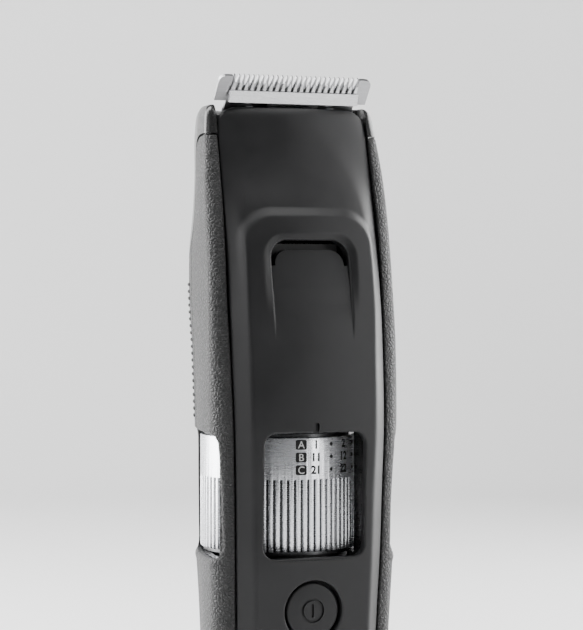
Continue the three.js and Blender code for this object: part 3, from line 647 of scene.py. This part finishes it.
def build_back_grip():
    start_y = SIDE_SEAM_Y + GAP
    top_edge = back_grip_top()
    levels = np.arange(CAP_HEIGHT, 142.5, 0.5)
    length = 34.0
    fractions = np.concatenate([EDGE_OFFSETS / length, np.linspace(0.7 / length, 1, 78)])
    families = []
    for inward in (0.0, SKIN):
        family = []
        for z in levels:
            curve = flank_curve(z, inward, 40)
            start = length_where(curve, -curve[:, 1], start_y)
            family.append(resampled(curve, start, lengths_along(curve)[-1], fractions))
        families.append(np.array(family))
    at_top = np.array([np.interp(130.0, levels, -families[0][:, j, 1]) for j in range(len(fractions))])
    top_z = np.interp(at_top, top_edge[:, 0], top_edge[:, 1])
    shared = grip_heights(118.0)
    upper = np.linspace(0, 1, 40)[1:]
    edge_rows = np.array([0.7, 0.45, 0.28, 0.14, 0.05, 0])
    z = np.empty((len(shared) + len(upper) + len(edge_rows), len(fractions)))
    for j, top in enumerate(top_z):
        z[:, j] = np.concatenate([shared, 118 + (top - 1.2 - 118) * upper, top - edge_rows])
    grids = []
    for family in families:
        grid = np.empty(z.shape + (3,))
        for j in range(len(fractions)):
            grid[:, j, 0] = np.interp(z[:, j], levels, family[:, j, 0])
            grid[:, j, 1] = -np.interp(z[:, j], levels, family[:, j, 1])
        grid[..., 2] = z
        grid[:, -1, 0] = 0
        mirrored = grid[:, -2::-1] * [-1, 1, 1]
        grids.append(np.concatenate([grid, mirrored], 1))
    outer, inner = grids
    normal = outward(outer)
    along = lengths_along(outer[len(shared) // 2])
    to_edge = np.minimum(np.minimum(along, along[-1] - along)[None, :],
                         np.minimum(outer[..., 2] - CAP_HEIGHT - GAP,
                                    (np.concatenate([top_z, top_z[-2::-1]])[None, :] - outer[..., 2]) * 0.85))
    relief = grip_relief(outer[..., 1], outer[..., 2]) - rounded_drop(to_edge, 0.5)
    grip = sheet_solid("back_grip_skin", outer + normal * relief[..., None], inner)
    combine(grip, "UNION", grip_domes(outer, normal, along, top_z))
    cut(grip, side_window(-1), side_window(1), dial_room())
    return shaded(grip, 40)


DOME = {"radius": 0.46, "height": 0.36, "pitch": 1.7, "bottom": 95.5, "rows": 20, "border": 2.1}


def at_height(grid, column, z, heights=None):
    """A grid's value on one column at a height."""
    levels = (grid if heights is None else heights)[:, column, 2]
    return np.array([np.interp(z, levels, grid[:, column, k]) for k in range(3)])


def grip_domes(outer, normal, along, top_z):
    """Staggered rows of small domes over the back grip, as one mesh of closed caps."""
    points, faces = [], []
    segments = 10
    profile = [(1.0, -0.3), (1.0, 0.0), (0.93, 0.42), (0.72, 0.74), (0.4, 0.94)]
    middle = len(top_z) - 1
    for row in range(DOME["rows"]):
        z = DOME["bottom"] + row * DOME["pitch"]
        shift = DOME["pitch"] / 2 * (row % 2)
        centre = along[middle]
        count = int((centre - DOME["border"]) / DOME["pitch"])
        for k in range(-count, count + 1):
            at = centre + k * DOME["pitch"] + shift
            if not DOME["border"] < at < along[-1] - DOME["border"]:
                continue
            j = int(np.clip(np.searchsorted(along, at), 1, len(along) - 1))
            share = (at - along[j - 1]) / (along[j] - along[j - 1])
            place = at_height(outer, j - 1, z) * (1 - share) + at_height(outer, j, z) * share
            if z > np.interp(place[1], *back_grip_top().T) - DOME["border"]:
                continue
            up = at_height(normal, j - 1, z, outer) * (1 - share) + at_height(normal, j, z, outer) * share
            across = np.cross([0, 0, 1], up)
            across /= np.linalg.norm(across)
            rise = np.cross(up, across)
            base = len(points)
            for width, height in profile:
                for a in turn(segments):
                    offset = (across * math.cos(a) + rise * math.sin(a)) * width * DOME["radius"]
                    points.append(place + offset + up * height * DOME["height"])
            points.append(place + up * DOME["height"])
            faces.append([base + s for s in range(segments)][::-1])
            for level in range(len(profile) - 1):
                for s in range(segments):
                    a, b = base + level * segments + s, base + level * segments + (s + 1) % segments
                    faces.append([a, b, b + segments, a + segments])
            last = base + (len(profile) - 1) * segments
            for s in range(segments):
                faces.append([last + s, last + (s + 1) % segments, len(points) - 1])
    return make_object("domes", points, faces)


# ---- Back housing and base ----

def grip_zones(grow):
    """The space of the side grips and of the back grip, grown by a gap."""
    back, top = SIDE_SEAM_Y + grow, GRIP_TOP + grow
    t = np.linspace(0, 1, 16)
    corner = [(back - 8 * k * k, top - 9 * (1 - k) ** 2) for k in t]
    sides = side([(-FAR, -5), (back, -5), *corner, (-FAR, top)], -30, 30)
    cut(sides, seam_slab(GAP / 2 - grow))
    start = SIDE_SEAM_Y + GAP - grow
    upper = [(max(y - grow * (y < 6), start), z + 3 * grow) for y, z in back_grip_top()[::-1]]
    behind = side([(start, -5), (FAR, -5), *upper], -30, 30)
    return sides, behind


def build_back_housing():
    shell = casing("back_housing_shell", 0, CAP_HEIGHT + GAP, CASING_TOP)
    cut(shell, casing("inner", INNER_WALL, 0, CASING_TOP + 0.5, 4.0), seam_slab(GAP / 2))
    for zone in grip_zones(GAP):
        under = combine(casing("under", -2, 0, CASING_TOP, 4.0), "INTERSECT", zone)
        cut(under, casing("below", SKIN + GAP, -0.5, CASING_TOP + 0.5, 2.0))
        cut(shell, under)
    pillars = cut(block(-24, 24, -19, -11, 56, 99), block(-14.2, 14.2, -30, 0, 50, 110))
    combine(pillars, "INTERSECT", casing("pillar_limit", FACE_WALL + GAP, 0, CASING_TOP, 4.0))
    combine(shell, "UNION", pillars)
    for x, z in screw_posts():
        limit = casing("limit", SKIN + GAP, 0, CASING_TOP, 4.0)
        combine(shell, "UNION", combine(fore_aft(3.1, 5, 15, x, z), "INTERSECT", limit))
    for x, z in screw_posts():
        cut(shell, fore_aft(1.4, 0, 30, x, z), fore_aft(2.4, 9.5, 30, x, z))
    cut(shell, side_window(-1), side_window(1), dial_room())
    return shaded(shell, 30)


def socket_outline(grow):
    return rounded_rectangle(-5.2 - grow, 5.2 + grow, 7 - 3.5 - grow, 7 + 3.5 + grow, 1.4)


def build_base_cap():
    cap = casing("base_cap_shell", 0, 0, CAP_HEIGHT, 0.9)
    cut(cap, casing("cap_room", 2.2, 2.4, CAP_HEIGHT + 1, 2.0), plan(socket_outline(GAP), -1, 20))
    return shaded(cap, 30)


# ---- Dial ----

def rib_depth(phase):
    """Depth below the rib's crest at a phase of 0 to 1 from the middle of one valley to the next."""
    away = min(phase, 1 - phase)
    points = ((0, 1), (0.07, 0.97), (0.24, 0.16), (0.30, 0.03), (0.5, 0))
    return RIB_DEPTH * float(np.interp(away, *zip(*points)))


def build_dial():
    radius, low, top = DIAL["radius"], DIAL["bottom"], DIAL["top"]
    rim = DIAL_RIM["height"]
    band = [(radius - 0.03, RIB_TOP + 0.12), (radius - 0.03, top - 0.35), (radius - 0.13, top - 0.1),
            (radius - 0.35, top)]
    inside = [(DIAL_RIM["high"], top), (DIAL_RIM["high"], top + rim), (DIAL["bore"], top + rim),
              (DIAL["bore"], DIAL["detent_top"]), (DIAL["detent_bore"], DIAL["detent_top"]),
              (DIAL["detent_bore"], low - rim), (DIAL_RIM["low"], low - rim), (DIAL_RIM["low"], low)]
    phases = [0, 0.07, 0.155, 0.24, 0.3, 0.4, 0.5, 0.6, 0.7, 0.76, 0.845, 0.93]
    rings = []
    for i in range(RIBS):
        for phase in phases:
            angle = 2 * math.pi * (i + phase) / RIBS
            valley_shade = radius - rib_depth(phase)
            ribs = [(valley_shade - 0.4, low), (valley_shade - 0.12, low + 0.1), (valley_shade, low + 0.4),
                    (valley_shade, RIB_TOP - 0.12)]
            rings.append([(r * math.sin(angle), -r * math.cos(angle), z)
                          for r, z in [*ribs, *band, *inside]])
    ring = ring_solid("dial_ring", rings, closed=True)
    cut(ring, helix_cutter())
    return shaded(ring, 28)


def helix_cutter():
    """The groove in the dial's bore that lifts the comb carriage as the dial turns."""
    rings = []
    total = GROOVE["detents"] * DETENT
    spare = math.radians(8)
    half = GROOVE["width"] / 2
    for angle in np.linspace(-spare, total + spare, 90):
        z = GROOVE["start"] + GROOVE["rise"] * angle / total
        corners = [(DIAL["bore"] - 0.6, -half), (DIAL["bore"] + GROOVE["depth"], -half),
                   (DIAL["bore"] + GROOVE["depth"], half), (DIAL["bore"] - 0.6, half)]
        rings.append([(r * math.sin(angle), -r * math.cos(angle), z + dz) for r, dz in corners])
    return ring_solid("helix", rings)


def text_shape(body, size, thicker):
    """Flat glyphs centred on the origin, their outlines moved out by a distance."""
    curve = bpy.data.curves.new("glyphs", "FONT")
    curve.body = body
    curve.size = size
    curve.offset = thicker
    curve.align_x = "CENTER"
    curve.resolution_u = 6
    item = bpy.data.objects.new("glyphs", curve)
    bpy.context.scene.collection.objects.link(item)
    bpy.context.view_layer.update()
    mesh = bpy.data.meshes.new_from_object(item.evaluated_get(bpy.context.evaluated_depsgraph_get()))
    bpy.data.objects.remove(item)
    made = bmesh.new()
    made.from_mesh(mesh)
    bmesh.ops.remove_doubles(made, verts=made.verts, dist=1e-4)
    return made


def flat_shape(outline):
    made = bmesh.new()
    made.faces.new([made.verts.new((x, y, 0)) for x, y in outline])
    return made


INK_THICKNESS = 0.02


def wrapped(name, shapes, radius):
    """Flat shapes laid round the dial as one thin raised mesh. Each is (bmesh, angle, height)."""
    points, faces = [], []
    for made, angle, z in shapes:
        xs = [v.co.x for v in made.verts]
        ys = [v.co.y for v in made.verts]
        middle = Vector((0, (min(ys) + max(ys)) / 2, 0))
        for x in np.arange(min(xs) + 0.2, max(xs), 0.35):
            geometry = made.verts[:] + made.edges[:] + made.faces[:]
            bmesh.ops.bisect_plane(made, geom=geometry, plane_co=(x, 0, 0), plane_no=(1, 0, 0))
        extruded = bmesh.ops.extrude_face_region(made, geom=made.faces[:])
        raised = [v for v in extruded["geom"] if isinstance(v, bmesh.types.BMVert)]
        for v in raised:
            v.co.z = INK_THICKNESS
        made.verts.index_update()
        base = len(points)
        for v in made.verts:
            turned = angle + v.co.x / radius
            r = radius + v.co.z
            points.append((r * math.sin(turned), -r * math.cos(turned), z + v.co.y - middle.y))
        faces += [[base + v.index for v in face.verts] for face in made.faces]
        made.free()
    return make_object(name, points, faces)


PRINT_ROWS = (("A", 89.3), ("B", 86.25), ("C", 83.2))
PRINT_TURN = math.radians(5.8)  # the first column's angle from the centre line
BADGE_TURN = math.radians(-5.6)
COLUMNS = 10
DIGIT_SIZE = 2.75
LETTER_SIZE = 2.5
DOT_RADIUS = 0.48
STROKE = 0.1  # how far the digits' outlines are thickened


def build_dial_print():
    """Numbers one detent pair apart with dots between them, and a lettered badge before each row."""
    dark, light = [], []
    surface = DIAL["radius"] - 0.03
    for row, (letter, z) in enumerate(PRINT_ROWS):
        dark.append((flat_shape(rounded_rectangle(-1.4, 1.4, -1.2, 1.2, 0.45, 5)), BADGE_TURN, z))
        light.append((text_shape(letter, LETTER_SIZE, 0.0), BADGE_TURN, z))
        for k in range(COLUMNS):
            number = text_shape(str(COLUMNS * row + k + 1), DIGIT_SIZE, STROKE)
            dark.append((number, PRINT_TURN + 2 * k * DETENT, z))
            if k < COLUMNS - 1:
                dot = [(DOT_RADIUS * math.cos(a), DOT_RADIUS * math.sin(a)) for a in turn(20)]
                dark.append((flat_shape(dot), PRINT_TURN + (2 * k + 1) * DETENT, z))
    printed = wrapped("dial_numbers", dark, surface + 0.004)
    letters = wrapped("dial_badge_letters", light, surface + 0.03)
    return printed, letters


# ---- Button and lamp ----

def rounded_pad(name, outline_of, front_y, back_y, edge):
    """A pad that faces forwards, with a rounded front edge."""
    rings = []
    for a in np.radians([0, 18, 36, 54, 72, 90]):
        y = front_y + edge * (1 - math.cos(a))
        rings.append([(x, y, z) for x, z in outline_of(-edge * (1 - math.sin(a)))])
    rings.append([(x, back_y, z) for x, z in outline_of(0)])
    return ring_solid(name, rings)


def build_power_button():
    pad = rounded_pad("power_button_pad", keyhole, -BUTTON["front"], -BUTTON["back"], 0.5)
    flange = front(keyhole(1.5), -BUTTON["back"] - 0.8, -BUTTON["back"] + 0.2)
    plunger = fore_aft(1.5, -BUTTON["back"], -16.9, 0, BUTTON["z"])
    combine(pad, "UNION", flange, plunger)
    y = -BUTTON["front"]
    engraving = cut(fore_aft(2.95, y - 1, y + 0.5, 0, BUTTON["z"], 64),
                    fore_aft(2.3, y - 2, y + 1, 0, BUTTON["z"], 64))
    bar = rounded_rectangle(-0.32, 0.32, BUTTON["z"] - 1.65, BUTTON["z"] + 1.65, 0.31, 6)
    cut(pad, engraving, front(bar, y - 1, y + 0.5))
    return shaded(pad, 30)


def build_lamp():
    def lens(grow):
        half_width, half = LAMP["half_width"] + grow, LAMP["radius"] + grow
        return rounded_rectangle(-half_width, half_width, LAMP["z"] - half, LAMP["z"] + half, half - 0.02)

    return shaded(rounded_pad("charge_lamp_lens", lens, -LAMP["front"], -LAMP["back"], 0.3), 30)


# ---- Materials ----

def new_material(name, metallic=0.0, specular=0.5, coat=0.0, coat_roughness=0.1):
    material = bpy.data.materials.new(name)
    material.use_nodes = True
    shader = material.node_tree.nodes["Principled BSDF"]
    shader.inputs["Metallic"].default_value = metallic
    shader.inputs["Specular IOR Level"].default_value = specular
    shader.inputs["Coat Weight"].default_value = coat
    shader.inputs["Coat Roughness"].default_value = coat_roughness
    return material, material.node_tree, shader


def coordinates(tree, stretch=(1, 1, 1)):
    """Object coordinates in millimetres, stretched to lengthen a pattern along an axis."""
    source = tree.nodes.new("ShaderNodeTexCoord")
    mapping = tree.nodes.new("ShaderNodeMapping")
    mapping.inputs["Scale"].default_value = [k / MM for k in stretch]
    tree.links.new(source.outputs["Object"], mapping.inputs["Vector"])
    return mapping.outputs["Vector"]


def noise(tree, vector, size, detail=3.0, rough=0.55):
    """Noise whose features are about size millimetres."""
    node = tree.nodes.new("ShaderNodeTexNoise")
    node.inputs["Scale"].default_value = 1 / size
    node.inputs["Detail"].default_value = detail
    node.inputs["Roughness"].default_value = rough
    tree.links.new(vector, node.inputs["Vector"])
    return node.outputs["Fac"]


def cells(tree, vector, size):
    """Distance from the borders between cells of about size millimetres."""
    node = tree.nodes.new("ShaderNodeTexVoronoi")
    node.feature = "DISTANCE_TO_EDGE"
    node.inputs["Scale"].default_value = 1 / size
    tree.links.new(vector, node.inputs["Vector"])
    return node.outputs["Distance"]


def spread(tree, value, low, high, to_low, to_high):
    """A value mapped from one range to another, and held within it."""
    node = tree.nodes.new("ShaderNodeMapRange")
    sockets = ("From Min", "From Max", "To Min", "To Max")
    for socket, number in zip(sockets, (low, high, to_low, to_high)):
        node.inputs[socket].default_value = number
    tree.links.new(value, node.inputs["Value"])
    return node.outputs["Result"]


def combined(tree, operation, first, second):
    node = tree.nodes.new("ShaderNodeMath")
    node.operation = operation
    for socket, value in zip(node.inputs, (first, second)):
        if isinstance(value, (int, float)):
            socket.default_value = value
        else:
            tree.links.new(value, socket)
    return node.outputs["Value"]


def tint(tree, shader, value, dark, light, low=0.3, high=0.7):
    """Base colour that runs between two colours with a value."""
    ramp = tree.nodes.new("ShaderNodeValToRGB")
    ramp.color_ramp.elements[0].position = low
    ramp.color_ramp.elements[0].color = (*dark, 1)
    ramp.color_ramp.elements[1].position = high
    ramp.color_ramp.elements[1].color = (*light, 1)
    tree.links.new(value, ramp.inputs["Fac"])
    tree.links.new(ramp.outputs["Color"], shader.inputs["Base Color"])


def bump(tree, shader, height, depth):
    """Surface relief of a depth in millimetres."""
    node = tree.nodes.new("ShaderNodeBump")
    node.inputs["Strength"].default_value = 1.0
    node.inputs["Distance"].default_value = depth * MM
    tree.links.new(height, node.inputs["Height"])
    tree.links.new(node.outputs["Normal"], shader.inputs["Normal"])


def roughen(tree, shader, value, varied=None):
    """Roughness from a value, plus a second one where it is given."""
    total = value if varied is None else combined(tree, "ADD", value, varied)
    tree.links.new(total, shader.inputs["Roughness"])


def grey(level, blue=1.0):
    return (level, level, level * blue)


def speckled(name, size, detail, colours, roughness, relief, stretch=(1, 1, 1), **gloss):
    """A surface whose colour, roughness and relief all follow one noise."""
    material, tree, shader = new_material(name, **gloss)
    value = noise(tree, coordinates(tree, stretch), size, detail)
    tint(tree, shader, value, *colours)
    roughen(tree, shader, spread(tree, value, 0.3, 0.7, *roughness))
    bump(tree, shader, value, relief)
    return material


def soft_touch():
    """Matte coating with a very fine texture, a little polished here and there by handling."""
    material, tree, shader = new_material("soft_touch", specular=0.26)
    place = coordinates(tree)
    fine = noise(tree, place, 0.16, 2.0)
    handled = noise(tree, place, 11.0, 4.0)
    tint(tree, shader, handled, grey(0.0085, 1.06), grey(0.0115, 1.06))
    rough = spread(tree, handled, 0.3, 0.7, 0.40, 0.48)
    roughen(tree, shader, rough, spread(tree, fine, 0.2, 0.8, -0.03, 0.03))
    bump(tree, shader, fine, 0.006)
    return material


def satin_hood():
    """Moulded plastic with a satin gloss, faint hairline scratches and a slight waviness."""
    material, tree, shader = new_material("satin_hood", specular=0.4, coat=0.12, coat_roughness=0.12)
    hair = noise(tree, coordinates(tree, (6, 6, 0.35)), 1.2, 4.0, 0.7)
    cloud = noise(tree, coordinates(tree), 7.0, 3.0)
    tint(tree, shader, cloud, grey(0.009), grey(0.013))
    rough = spread(tree, cloud, 0.3, 0.7, 0.235, 0.275)
    roughen(tree, shader, rough, spread(tree, hair, 0.45, 0.75, 0.0, 0.07))
    bump(tree, shader, hair, 0.0015)
    return material


def grip_leather():
    """Elastomer moulded with a fine leather grain: small pebbles parted by creases."""
    material, tree, shader = new_material("grip_leather", specular=0.34)
    place = coordinates(tree)
    wander = tree.nodes.new("ShaderNodeTexNoise")
    wander.inputs["Scale"].default_value = 1.1
    tree.links.new(place, wander.inputs["Vector"])
    shift = tree.nodes.new("ShaderNodeVectorMath")
    shift.operation = "MULTIPLY_ADD"
    tree.links.new(wander.outputs["Color"], shift.inputs[0])
    shift.inputs[1].default_value = (0.5, 0.5, 0.5)
    tree.links.new(place, shift.inputs[2])
    pebble = cells(tree, shift.outputs["Vector"], 0.95)
    crease = spread(tree, pebble, 0.0, 0.28, 0.0, 1.0)
    grit = noise(tree, place, 0.3, 3.0)
    height = combined(tree, "MULTIPLY", combined(tree, "ADD", crease, grit), 0.7)
    # Painted shade: the creases between the pebbles are coloured darker than the pebbles' tops.
    tint(tree, shader, crease, grey(0.006), grey(0.012, 1.04), 0.0, 1.0)
    roughen(tree, shader, spread(tree, height, 0.2, 1.2, 0.6, 0.36))
    bump(tree, shader, height, 0.2)
    return material


def moulded():
    """Plain black moulded plastic with a spark-eroded texture."""
    material, tree, shader = new_material("black_plastic", specular=0.45)
    place = coordinates(tree)
    texture = noise(tree, place, 0.2, 3.0)
    flow = noise(tree, coordinates(tree, (1, 1, 0.3)), 5.0, 3.0)
    tint(tree, shader, flow, grey(0.012), grey(0.02))
    roughen(tree, shader, spread(tree, texture, 0.25, 0.75, 0.43, 0.57))
    bump(tree, shader, texture, 0.008)
    return material


def brushed(name, colour, along, roughness=0.26, relief=0.0035, deep=0.82, metallic=1.0):
    """Ground or plated metal whose fine scratches run along an axis, or round the dial."""
    material, tree, shader = new_material(name, metallic=metallic)
    stretch = {"x": (0.02, 1, 1), "round": (0.05, 0.05, 1)}[along]
    scratch = noise(tree, coordinates(tree, stretch), 0.16, 2.0, 0.6)
    smudge = noise(tree, coordinates(tree), 6.0, 3.0)
    tint(tree, shader, scratch, tuple(c * deep for c in colour), colour, 0.25, 0.75)
    rough = spread(tree, scratch, 0.25, 0.75, roughness - 0.05, roughness + 0.08)
    roughen(tree, shader, rough, spread(tree, smudge, 0.35, 0.7, 0.0, 0.06))
    bump(tree, shader, scratch, relief)
    return material


def plated_dial():
    """Brushed plating on the dial, with painted shade in the valleys between its ribs, on its rims and in its
    bore.
    """
    material = brushed("silver_dial", (0.74, 0.75, 0.78), "round", 0.24, 0.0005, 0.96, 0.75)
    tree = material.node_tree
    shader = tree.nodes["Principled BSDF"]
    flat = tree.nodes.new("ShaderNodeVectorMath")
    flat.operation = "MULTIPLY"
    flat.inputs[1].default_value = (1, 1, 0)
    tree.links.new(coordinates(tree), flat.inputs[0])
    radius = tree.nodes.new("ShaderNodeVectorMath")
    radius.operation = "LENGTH"
    tree.links.new(flat.outputs["Vector"], radius.inputs[0])
    # Painted shade: the colour darkens from the rib crests down to the valleys, rims and bore, by distance
    # from the axis.
    valley_shade = spread(tree, radius.outputs["Value"], DIAL["radius"] - 0.72, DIAL["radius"] - 0.2, 0.06, 1.0)
    shade = tree.nodes.new("ShaderNodeMix")
    shade.data_type = "RGBA"
    shade.blend_type = "MULTIPLY"
    shade.inputs["Factor"].default_value = 1.0
    plating = shader.inputs["Base Color"].links[0].from_socket
    tree.links.new(plating, shade.inputs["A"])
    tree.links.new(valley_shade, shade.inputs["B"])
    tree.links.new(shade.outputs["Result"], shader.inputs["Base Color"])
    return material


def rubber():
    """Dull rubber with a little dust on it."""
    return speckled("seal_rubber", 0.5, 4.0, (grey(0.012), grey(0.022)), (0.75, 0.9), 0.02, specular=0.3)


def laminate():
    """Solder mask over the weave of the board."""
    material, tree, shader = new_material("board_laminate", specular=0.5)
    place = coordinates(tree)
    wave = tree.nodes.new("ShaderNodeTexWave")
    wave.inputs["Scale"].default_value = 0.35
    wave.inputs["Distortion"].default_value = 0.4
    tree.links.new(place, wave.inputs["Vector"])
    tint(tree, shader, wave.outputs["Fac"], (0.012, 0.075, 0.03), (0.02, 0.12, 0.05))
    roughen(tree, shader, spread(tree, noise(tree, place, 1.5), 0.3, 0.7, 0.28, 0.42))
    bump(tree, shader, wave.outputs["Fac"], 0.01)
    return material


def cell_sleeve():
    """Shrink sleeve with faint wrinkles round the cell."""
    colours = (0.02, 0.09, 0.2), (0.035, 0.13, 0.27)
    return speckled("cell_sleeve", 1.6, 4.0, colours, (0.25, 0.38), 0.03, (0.4, 0.4, 1), coat=0.3)


def smoked_lens():
    """Frosted lens of an unlit lamp."""
    colours = (0.05, 0.065, 0.055), (0.085, 0.11, 0.09)
    return speckled("smoked_lens", 0.35, 3.0, colours, (0.16, 0.26), 0.004, coat=0.5, coat_roughness=0.05)


def ink(name, level):
    """Pad-printed ink, slightly uneven."""
    return speckled(name, 0.3, 3.0, (grey(level * 0.85), grey(level)), (0.42, 0.55), 0.003, specular=0.12)


def pale_stage():
    material, tree, shader = new_material("pale_stage", specular=0.2)
    cloud = noise(tree, coordinates(tree), 400.0, 2.0)
    tint(tree, shader, cloud, grey(0.8077), grey(0.82))
    shader.inputs["Roughness"].default_value = 0.8
    return material


def finishes():
    """One material for each of the record's slots."""
    return {
        "soft_touch_black": soft_touch(),
        "satin_black": satin_hood(),
        "grip_elastomer": grip_leather(),
        "black_plastic": moulded(),
        "contact_brass": brushed("contact_brass", (0.78, 0.60, 0.30), "x", 0.3),
        "silver_dial": plated_dial(),
        "spring_steel": brushed("spring_steel", (0.62, 0.62, 0.64), "x", 0.24),
        "battery_wrap": cell_sleeve(),
        "board_laminate": laminate(),
        "seal_rubber": rubber(),
        "lamp_lens": smoked_lens(),
        "motor_steel": brushed("motor_steel", (0.62, 0.62, 0.63), "round", 0.3),
        "blade_steel": brushed("blade_steel", (0.68, 0.68, 0.69), "x", 0.25, 0.002, 0.8),
        "screw_steel": brushed("screw_steel", (0.52, 0.52, 0.54), "round", 0.3),
    }


# ---- The assembly ----

def placed(piece, slot, body, material, *nodes):
    """Puts a detailed piece on its body, in place of the CAD nodes named."""
    piece.data.materials.clear()
    piece.data.materials.append(material)
    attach(piece, body)
    if nodes:
        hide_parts(*nodes)


def dress_nodes(materials):
    """Gives each CAD node its slot's material, the fixed blade a darker steel for painted shade, and fine
    bevels where light would catch edges.
    """
    slots = {part["node"]: part["material_slot"] for part in frame["record"]["subparts"]}
    # Painted shade: the fixed blade gets a darker copy of the blade steel, standing in for its darker
    # reflections.
    shaded_copy_steel = brushed("fixed_blade_shaded_steel", (0.40, 0.40, 0.41), "x", 0.3, 0.002, 0.8)
    bevels = {"fixed_blade": 0.06, "moving_blade": 0.05, "blade_holder": 0.25, "drive_fork": 0.2,
              "head_deck": 0.2, "inlet_socket": 0.15, "blade_spring_left": 0.05, "blade_spring_right": 0.05}
    for name, item in frame["nodes"].items():
        item.data.materials.clear()
        item.data.materials.append(shaded_copy_steel if name == "fixed_blade" else materials[slots[name]])
        if name in bevels:
            modifier = item.modifiers.new("edges", "BEVEL")
            modifier.width = bevels[name] * MM
            modifier.segments = 2
            modifier.limit_method = "ANGLE"
            modifier.angle_limit = math.radians(28)
            modifier.harden_normals = True


# The wall is left out within "open" degrees of the camera's direction.
STAGE = {"radius": 1150.0, "bend": 320.0, "height": 760.0, "sides": 120, "open": 75.0}


def make_stage():
    """A pale round floor whose rim curves up into a wall, open above and towards the camera."""
    flat = STAGE["radius"] - STAGE["bend"]
    bend = [(flat + STAGE["bend"] * math.sin(a), STAGE["bend"] * (1 - math.cos(a)))
            for a in np.linspace(0, math.pi / 2, 24)]
    profile = [(flat / 2, 0.0), *bend, (STAGE["radius"], STAGE["height"])]
    points = [(r * math.cos(a), r * math.sin(a), z) for r, z in profile for a in turn(STAGE["sides"])]
    count = STAGE["sides"]
    faces = [list(range(count))]
    to_camera = math.radians(CAMERA["azimuth"] - 90)
    for level in range(len(profile) - 1):
        for i in range(count):
            low, high, j = level * count, (level + 1) * count, (i + 1) % count
            away = math.cos(2 * math.pi * i / count - to_camera)
            if level == 0 or away < math.cos(math.radians(STAGE["open"])):
                faces.append([low + i, low + j, high + j, high + i])
    stage = make_object("stage", points, faces)
    stage.data.materials.append(pale_stage())
    shaded(stage, 60)


CAMERA = {"azimuth": -22.0, "distance": 570.0, "lens": 131.3, "height": 127.5, "pitch": -0.73, "aim": 3.13}


def make_camera():
    azimuth = math.radians(CAMERA["azimuth"])
    back = Vector((math.sin(azimuth), -math.cos(azimuth), 0))
    right = Vector((math.cos(azimuth), math.sin(azimuth), 0))
    camera = bpy.data.objects.new("camera", bpy.data.cameras.new("camera"))
    bpy.context.scene.collection.objects.link(camera)
    above = Vector((0, 0, CAMERA["height"]))
    camera.location = (right * CAMERA["aim"] + back * CAMERA["distance"] + above) * MM
    camera.rotation_euler = (math.radians(90 + CAMERA["pitch"]), 0, azimuth)
    camera.data.lens = CAMERA["lens"]
    camera.data.sensor_width = 36
    camera.data.clip_start = 0.01
    camera.data.clip_end = 20
    bpy.context.scene.camera = camera


def soft_light(name, azimuth, elevation, distance, width, height, power, target=(0, 0, 100)):
    """A soft box at a direction from its target. Azimuth 0 is in front of it, and 90 at +X."""
    a, e = math.radians(azimuth), math.radians(elevation)
    away = Vector((math.sin(a) * math.cos(e), -math.cos(a) * math.cos(e), math.sin(e)))
    light = bpy.data.lights.new(name, "AREA")
    light.shape = "RECTANGLE"
    light.size, light.size_y = width * MM, height * MM
    light.energy = power
    item = bpy.data.objects.new(name, light)
    bpy.context.scene.collection.objects.link(item)
    item.location = (away * distance + Vector(target)) * MM
    item.rotation_euler = away.to_track_quat("Z", "Y").to_euler()


def make_lights():
    soft_light("left_box", -125, 8, 560, 400, 700, 11.5)
    soft_light("right_box", 96, 8, 600, 520, 700, 11.5)
    soft_light("top_box", 30, 66, 700, 460, 360, 3.0)
    soft_light("front_strip", 34, 6, 800, 160, 700, 2.6)
    soft_light("left_fill", -66, 16, 800, 160, 460, 1.6)
    soft_light("backdrop_box", -22, 48, 900, 900, 500, 22.0, (-330, 800, 250))
    world = bpy.data.worlds.new("world")
    world.use_nodes = True
    world.node_tree.nodes["Background"].inputs["Color"].default_value = (0.9, 0.92, 0.95, 1)
    world.node_tree.nodes["Background"].inputs["Strength"].default_value = 0.085
    bpy.context.scene.world = world


def main():
    make_camera()
    make_lights()
    make_stage()
    materials = finishes()
    dress_nodes(materials)

    def fit(piece, slot, body, *nodes):
        placed(piece, slot, body, materials[slot], *nodes)

    fit(build_front_housing(), "soft_touch_black", "body", "front_housing")
    fit(build_back_housing(), "satin_black", "body", "back_housing")
    fit(build_base_cap(), "satin_black", "body", "base_cap")
    fit(build_side_grip(-1, "left_grip_skin"), "grip_elastomer", "body", "left_grip")
    fit(build_side_grip(1, "right_grip_skin"), "grip_elastomer", "body", "right_grip")
    fit(build_back_grip(), "grip_elastomer", "body", "back_grip")
    fit(build_dial(), "silver_dial", "dial", "length_dial")
    fit(build_power_button(), "soft_touch_black", "power_button", "power_button")
    fit(build_lamp(), "lamp_lens", "body", "charge_lamp")
    numbers, letters = build_dial_print()
    placed(numbers, "black_plastic", "dial", ink("dark_ink", 0.012))
    placed(letters, "silver_dial", "dial", ink("light_ink", 0.55))


main()
